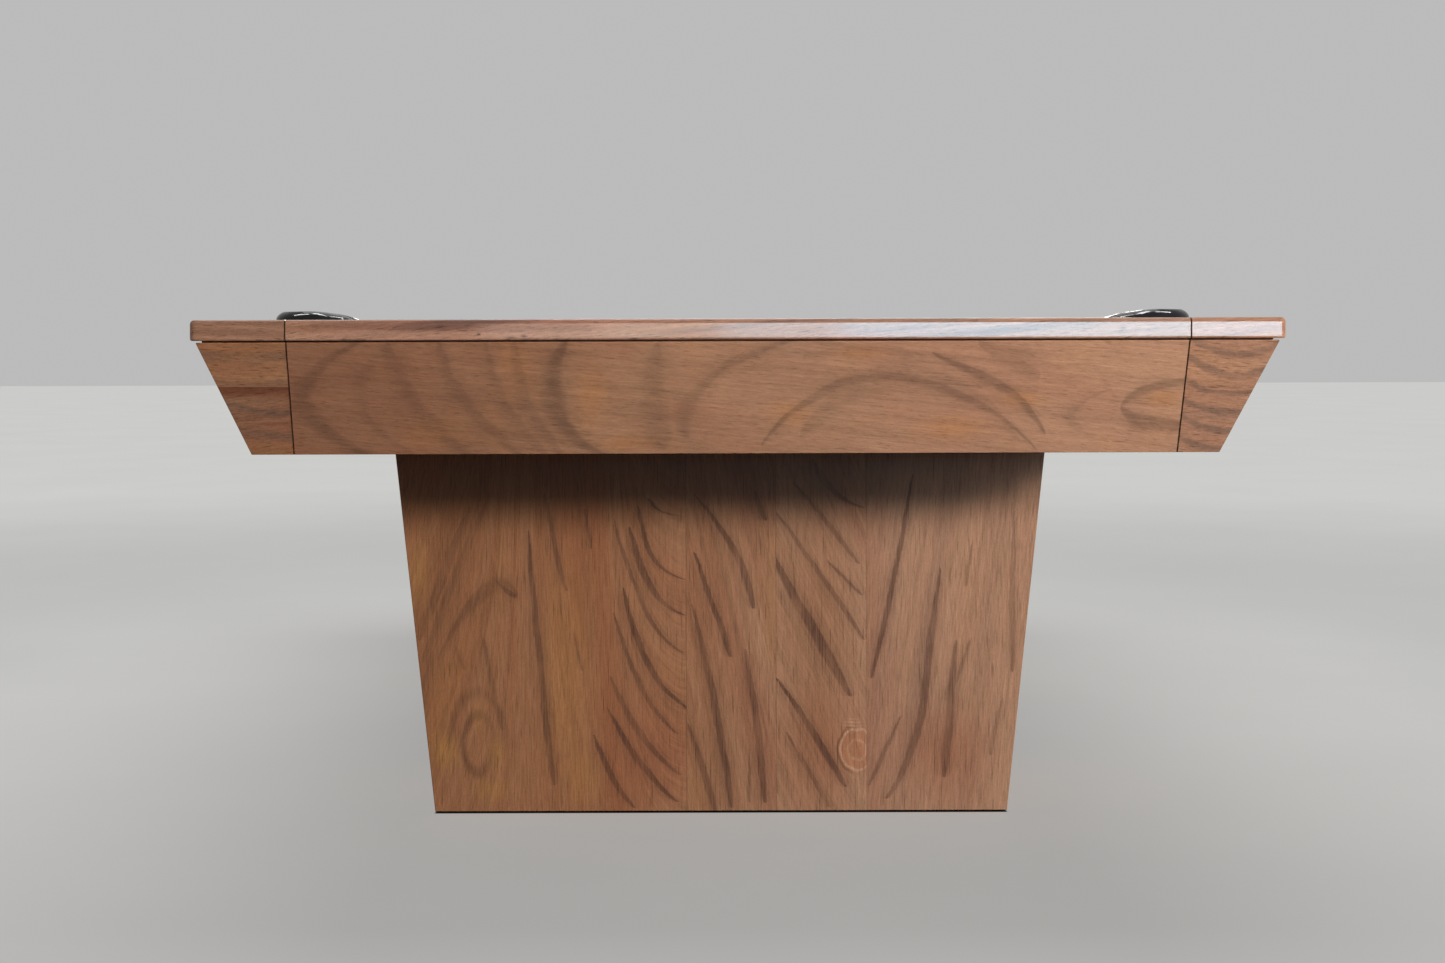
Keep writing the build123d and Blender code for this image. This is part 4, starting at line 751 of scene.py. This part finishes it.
def gloss_black():
    material, tree, shader, x, y, z = new_material("gloss_black", Roughness=0.07, Specular_IOR_Level=0.22)
    speck = noise(vector(tree, x, y, z), scale=240.0, detail=3.0)
    wear = noise(vector(tree, x, y, z), scale=30.0, detail=3.0)
    colour = ramp(wear, [(0.3, (0.006, 0.006, 0.007, 1.0)), (0.8, (0.016, 0.016, 0.017, 1.0))])
    finish_surface(tree, shader, colour, smooth(speck, 0.3, 0.8, 0.06, 0.12), speck, 0.00002)
    return material


def plain(name, colour, roughness, metallic=0.0, scale=300.0, contrast=0.25):
    """A lightly mottled, finely textured surface of one colour."""
    material, tree, shader, x, y, z = new_material(name, Metallic=metallic, Roughness=roughness)
    fine = noise(vector(tree, x, y, z), scale=scale, detail=3.0)
    broad = noise(vector(tree, x, y, z), scale=scale / 18.0)
    shade = (fine - 0.5) * contrast + (broad - 0.5) * contrast + 1.0
    surface = shaded(tree, colour, shade)
    varied = smooth(broad, 0.3, 0.7, roughness * 0.85, roughness * 1.1)
    finish_surface(tree, shader, surface, varied, fine, 0.00008)
    return material


def cloth_material():
    """Napped wool cloth: a fine twill, mottled, with a soft sheen."""
    material, tree, shader, x, y, z = new_material(
        "bed_cloth", Roughness=0.95, Sheen_Weight=0.12, Sheen_Roughness=0.5)
    twill = ((x + y + z) * 2600.0).math("SINE") * 0.5 + 0.5
    cross = ((x - y) * 2600.0).math("SINE") * 0.5 + 0.5
    nap = noise(vector(tree, x, y, z), scale=900.0, detail=3.0)
    broad = noise(vector(tree, x, y, z), scale=5.0, detail=3.0)
    shade = (twill * cross - 0.25) * 0.16 + (nap - 0.5) * 0.3 + (broad - 0.5) * 0.16 + 1.0
    surface = shaded(tree, tone(80, 84, 88), shade)
    finish_surface(tree, shader, surface, None, twill * cross + nap, 0.0002)
    return material


def paint_rest():
    """Pockets, slate, metal, sights and rubber."""
    paint_all(RIMS, gloss_black())
    paint_all(("corner_pocket_liners", "side_pocket_liners"),
              plain("liner_rubber", tone(34, 34, 35), 0.62, scale=500.0))
    paint_all(("slate_front", "slate_middle", "slate_back"),
              plain("slate", tone(84, 88, 92), 0.7, scale=60.0, contrast=0.35))
    feet = [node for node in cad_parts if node.startswith("foot_") and node != "foot_rails"]
    paint_all(feet + ["rail_bolts", "rail_washers", "pedestal_bolts"],
              plain("zinc", tone(170, 172, 174), 0.35, metallic=1.0, scale=220.0, contrast=0.2))
    paint("sights", plain("sight", tone(226, 222, 210), 0.25, scale=90.0, contrast=0.08))
    paint_all(("cushions_end", "cushions_side"), plain("cushion_rubber", tone(150, 106, 76), 0.8))


# ---------------------------------------------------------------- cloth
NOSE_X = 0.559                # middle of the table to the cushion noses
NOSE_Y = 1.1175
CUSHION_DEPTH = 0.045         # back of a cushion to its nose
NOSE_RADIUS = 0.0034
TUCK = 0.006                  # cloth over the feather strip, behind the cushion
CORNER_TIP_GAP = 0.117 / math.sqrt(2)
SIDE_TIP = 0.068              # middle of the side pocket to the cushion's nose tip
CORNER_FACING = 1 / math.tan(math.radians(38.0))
SIDE_FACING = 1 / math.tan(math.radians(76.0))
CLOTH_THICK = 0.0009
NOTCH_RADIUS = 0.0575
CORNER_POCKET = (0.598, 1.1565)
SIDE_POCKET_X = 0.626
CORNER_MOUTH_DEG = 50.0       # each side of the way into the pocket, where no liner wall stands
SIDE_MOUTH_DEG = 69.0


def mesh_piece(name, points, faces, material):
    """A cloth sheet: one layer of faces, with its thickness behind them."""
    mesh = bpy.data.meshes.new(name)
    mesh.from_pydata(points, [], faces)
    mesh.materials.append(material)
    build = bmesh.new()
    build.from_mesh(mesh)
    bmesh.ops.remove_doubles(build, verts=build.verts, dist=0.00005)
    bmesh.ops.recalc_face_normals(build, faces=build.faces)
    for face in build.faces:
        face.smooth = len(face.verts) == 4
    build.to_mesh(mesh)
    build.free()
    piece = bpy.data.objects.new(name, mesh)
    bpy.context.scene.collection.objects.link(piece)
    thick = piece.modifiers.new("thick", "SOLIDIFY")
    thick.thickness = CLOTH_THICK
    thick.offset = -1.0
    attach(piece, BODY)
    return piece


def cushion_section():
    """Outer face of the cushion cloth: (depth from the back, height above the bed)."""
    top = TOP_Z - BED_Z
    nose = (CUSHION_DEPTH - NOSE_RADIUS, 0.0360)
    points = [(-TUCK, top - 0.0022), (-TUCK + 0.0006, top - 0.0006), (-TUCK + 0.002, top)]
    crown = 8
    for step in range(crown + 1):
        part = step / crown
        points.append((0.036 * part, top - 0.0026 * part ** 1.6))
    for degrees in (68, 50, 32, 14, -4, -22, -40, -56):
        turn = math.radians(degrees)
        points.append((nose[0] + NOSE_RADIUS * math.cos(turn), nose[1] + NOSE_RADIUS * math.sin(turn)))
    points += [(0.0352, 0.0270), (0.0262, 0.0193), (0.0165, 0.0123), (0.0080, 0.0088), (0.0022, 0.0074),
               (0.0012, 0.0060), (0.0010, 0.0006)]
    return points


def cushion_cloth(name, low_end, high_end, place, material):
    """Cloth round one cushion. The two ends give the cushion's extent at a depth from its back, and
    place turns a point along it, its depth and its height into a place on the table."""
    section = cushion_section()
    columns = 24
    points = []
    for depth, height in section:
        low, high = low_end(depth), high_end(depth)
        for column in range(columns + 1):
            along = low + (high - low) * column / columns
            points.append(place(along, depth, BED_Z + height))
    faces = []
    width = columns + 1
    for row in range(len(section) - 1):
        for column in range(columns):
            a = row * width + column
            faces.append((a, a + 1, a + 1 + width, a + width))
    faces.append(tuple(row * width for row in range(len(section))))
    faces.append(tuple(row * width + columns for row in reversed(range(len(section)))))
    piece = mesh_piece(name, points, faces, material)
    length = high_end(0.0) - low_end(0.0)
    round(length + 0.06, 3)
    return piece


def corner_end(tip):
    """End of a cushion at a corner pocket, as a function of the depth from the cushion's back."""
    return lambda depth: tip + (CUSHION_DEPTH - depth) * CORNER_FACING


def side_end(depth):
    return SIDE_TIP - (CUSHION_DEPTH - depth) * SIDE_FACING


def make_cushion_cloth(material):
    """The cloths of the two end cushions and the four side cushions."""
    wide = corner_end(NOSE_X - CORNER_TIP_GAP)
    far = corner_end(NOSE_Y - CORNER_TIP_GAP)
    back_x, back_y = NOSE_X + CUSHION_DEPTH, NOSE_Y + CUSHION_DEPTH
    for end, toward in (("front", -1), ("back", 1)):
        def at_end(along, depth, height):
            return along, toward * (back_y - depth), height

        piece = cushion_cloth(f"cushion_cloth_end_{end}", lambda depth: -wide(depth), wide, at_end, material)
        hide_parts("cushion_cloth_end")
        for side, across in (("left", -1), ("right", 1)):
            def at_side(along, depth, height):
                return across * (back_x - depth), toward * along, height

            piece = cushion_cloth(f"cushion_cloth_side_{side}_{end}", side_end, far, at_side, material)
            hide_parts("cushion_cloth_side")


def notch_turns(half, mouth, count=40):
    """Angles over a pocket notch, each with whether it is in the mouth, where the cloth turns down."""
    turns = [half - 2 * half * step / count for step in range(count + 1)]
    return [(turn, abs(turn) <= mouth) for turn in turns]


def make_bed_cloth(material):
    """The cloth on the slate, stretched flat and turned down over its edge at the pocket mouths."""
    edge_x, edge_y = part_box("bed_cloth")[1].x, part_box("bed_cloth")[1].y
    x, y = CORNER_POCKET
    corner_half = 135.0 - math.degrees(math.acos((edge_x - x) / NOTCH_RADIUS))
    side_half = 180.0 - math.degrees(math.acos((edge_x - SIDE_POCKET_X) / NOTCH_RADIUS))
    corner, side = (corner_half, CORNER_MOUTH_DEG), (side_half, SIDE_MOUTH_DEG)
    notches = (((x, y), 225.0, *corner), ((-x, y), 315.0, *corner), ((-SIDE_POCKET_X, 0.0), 0.0, *side),
               ((-x, -y), 45.0, *corner), ((x, -y), 135.0, *corner), ((SIDE_POCKET_X, 0.0), 180.0, *side))
    points, faces = [], []
    # The turned edge, as (inward, down) from the rim of a notch.
    bend = [(0.0, 0.0), (0.0005, 0.00013), (0.00087, 0.0005), (0.001, 0.001), (0.001, 0.0065)]
    strips = []               # per notch, the points of each column over its edge
    for centre, facing, half, mouth in notches:
        columns = []
        for turn, open_mouth in notch_turns(half, mouth):
            ray = math.radians(facing + turn)
            ring = []
            for inward, down in bend if open_mouth else bend[:1]:
                reach = NOTCH_RADIUS - inward
                ring.append((centre[0] + reach * math.cos(ray), centre[1] + reach * math.sin(ray),
                             BED_Z - down))
            points.append(ring[0])
            columns.append(ring)
        strips.append(columns)
    faces.append(tuple(range(len(points))))
    for columns in strips:
        for first, second in zip(columns, columns[1:]):
            if len(first) < len(bend) or len(second) < len(bend):
                continue
            start = len(points)
            points += first + second
            for row in range(len(bend) - 1):
                a = start + row
                faces.append((a, a + len(bend), a + len(bend) + 1, a + 1))
    piece = mesh_piece("bed_cloth_sheet", points, faces, material)
    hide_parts("bed_cloth")


# ---------------------------------------------------------------- stage and lights
PEDESTAL_FOOT_HALF = 0.474    # half the width of a pedestal at its lower edge
FLOOR_HALF = 30.0
GLOW = (1.8, 7.0, 0.58, 0.92)  # near and far from the middle, and the strength at each


def looked_at(tree):
    """1 for rays from the camera and for rays mirrored or passed on to it, 0 for all others."""
    path = tree.nodes.new("ShaderNodeLightPath")
    mirrored, passed, direct = (Field(tree, path.outputs[f"Is {kind} Ray"])
                                for kind in ("Glossy", "Transmission", "Camera"))
    return direct.math("MAXIMUM", mirrored.math("MAXIMUM", passed))


def make_stage():
    """A pale floor that keeps its shadows. Its glow shows only to the camera and in mirrors, and not
    under the pedestals, where the gap stays dark."""
    mesh = bpy.data.meshes.new("floor")
    corners = [(a * FLOOR_HALF, b * FLOOR_HALF, 0.0) for a, b in ((-1, -1), (1, -1), (1, 1), (-1, 1))]
    mesh.from_pydata(corners, [], [(0, 1, 2, 3)])
    floor = bpy.data.objects.new("floor", mesh)
    bpy.context.scene.collection.objects.link(floor)
    material, tree, shader, x, y, z = new_material("floor", Roughness=0.9, Specular_IOR_Level=0.0)
    mottle = noise(vector(tree, x, y, z), scale=1.4, detail=4.0)
    seen = looked_at(tree)
    muted = ramp(mottle, [(0.2, tone(150, 149, 147)), (0.8, tone(156, 155, 153))])
    pale = ramp(mottle, [(0.2, tone(200, 200, 198)), (0.8, tone(204, 204, 202))])
    finish_surface(tree, shader, mix(tree, seen * 0.5, muted, pale))
    tree.links.new(pale.socket, shader.inputs["Emission Color"])
    distance = (x * x + y * y).math("SQRT")
    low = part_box("pedestal_front_outer_panel")[0].y
    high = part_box("pedestal_front_inner_panel")[1].y
    across = x.abs() - PEDESTAL_FOOT_HALF
    along = (y.abs() + (low + high) / 2).abs() - (high - low) / 2
    open_floor = smooth(across.math("MAXIMUM", along), -0.001, 0.002)
    glow = smooth(distance, *GLOW) * open_floor
    tree.links.new((seen * glow).socket, shader.inputs["Emission Strength"])
    mesh.materials.append(material)
    return floor


def make_world():
    """An even white room, dimmer as a light than it looks."""
    world = bpy.data.worlds.new("studio")
    bpy.context.scene.world = world
    world.use_nodes = True
    tree = world.node_tree
    background = tree.nodes["Background"]
    strength = smooth(looked_at(tree), 0.0, 1.0, 0.12, 0.50)
    background.inputs["Color"].default_value = (1.0, 1.0, 1.0, 1.0)
    tree.links.new(strength.socket, background.inputs["Strength"])


COLD, WARM, AMBER = (0.30, 0.72, 1.0), (1.0, 0.86, 0.74), (1.0, 0.92, 0.84)
SKY = (0.72, 0.88, 1.0)
# Strips that the rail mirrors: (left end, watts per metre of length, colour).
STRIPS = ((0.45, 5.7, COLD), (0.10, 5.7, COLD), (-0.25, 3.0, WARM), (-0.60, 3.0, WARM))
STRIP_RIGHT = 2.8
STRIP_HEIGHT = 0.16
STRIP_Y, STRIP_Z = -4.1, 0.835
FILL_SPREAD = 110.0
# Lamps that the pocket rims mirror: (middle across, width).
GLINTS = ((-1.50, 0.25), (-0.50, 0.30), (0.42, 0.40), (1.50, 0.25))
GLINT_Y, GLINT_Z = -1.0, 2.6
GLINT_LENGTH = 0.9
GLINT_POWER = 85.0            # watts per metre of width


def area_light(name, place, target, width, height, power, spread=180.0):
    data = bpy.data.lights.new(name, "AREA")
    data.shape = "RECTANGLE"
    data.size = width
    data.size_y = height
    data.energy = power
    data.spread = math.radians(spread)
    light = bpy.data.objects.new(name, data)
    light.location = place
    aim = Vector(target) - Vector(place)
    light.rotation_euler = aim.to_track_quat("-Z", "Y").to_euler()
    bpy.context.scene.collection.objects.link(light)
    return light


def keep_off(light, unlit):
    """Keeps a low lamp from burning out the floor below itself."""
    light.light_linking.receiver_collection = unlit
    for linked in unlit.collection_objects:
        linked.light_linking.link_state = "EXCLUDE"


def make_lights(floor):
    """A soft key from the front right, fills all round, and strips that the lacquered rail mirrors."""
    unlit = bpy.data.collections.new("unlit_by_low_lamps")
    unlit.objects.link(floor)
    key = area_light("key", (1.9, -4.0, 1.42), (0.1, -1.0, 0.5), 1.8, 0.36, 138.0)
    key.visible_glossy = False
    cool = area_light("cool", (3.2, -3.4, 1.3), (0.6, -1.0, 0.5), 1.2, 0.9, 42.0)
    cool.visible_glossy = False
    cool.data.color = SKY
    for count, (start, power, colour) in enumerate(STRIPS):
        middle, length = (STRIP_RIGHT + start) / 2, STRIP_RIGHT - start
        strip = area_light(f"strip_{count}", (middle, STRIP_Y, STRIP_Z), (middle - 0.4, -1.3, 0.80), length,
                           STRIP_HEIGHT, length * power)
        strip.visible_diffuse = False
        strip.data.color = colour
    back = area_light("back", (0.6, 5.2, 1.7), (0.0, 1.2, 0.5), 3.2, 1.2, 50.0, FILL_SPREAD)
    back.data.color = AMBER
    low_lamps = [key, cool, back]
    for name, side in (("left", -1), ("right", 1)):
        fill = area_light(name, (side * 4.6, 0.3, 1.7), (side * 0.7, 0.0, 0.5), 3.2, 1.2, 28.0, FILL_SPREAD)
        fill.visible_glossy = False
        low_lamps.append(fill)
    for light in low_lamps:
        keep_off(light, unlit)
    area_light("overhead", (0.0, 0.4, 3.2), (0.0, 0.0, 0.8), 3.0, 3.0, 60.0)


def make_glints():
    """Small lamps that only the glossy rims mirror."""
    mirrors = bpy.data.collections.new("mirrors_glints")
    for node in RIMS:
        mirrors.objects.link(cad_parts[node])
    for count, (across, width) in enumerate(GLINTS):
        glint = area_light(f"glint_{count}", (across, GLINT_Y, GLINT_Z), (across * 0.6, -1.17, 0.83), width,
                           GLINT_LENGTH, width * GLINT_POWER)
        glint.visible_diffuse = False
        glint.light_linking.receiver_collection = mirrors


paint_rails()
paint_aprons()
paint_pedestals()
paint_frame()
paint_rest()
cloth = cloth_material()
make_cushion_cloth(cloth)
make_bed_cloth(cloth)
stage_floor = make_stage()
make_world()
make_lights(stage_floor)
make_glints()
bpy.context.scene.view_settings.view_transform = "Standard"
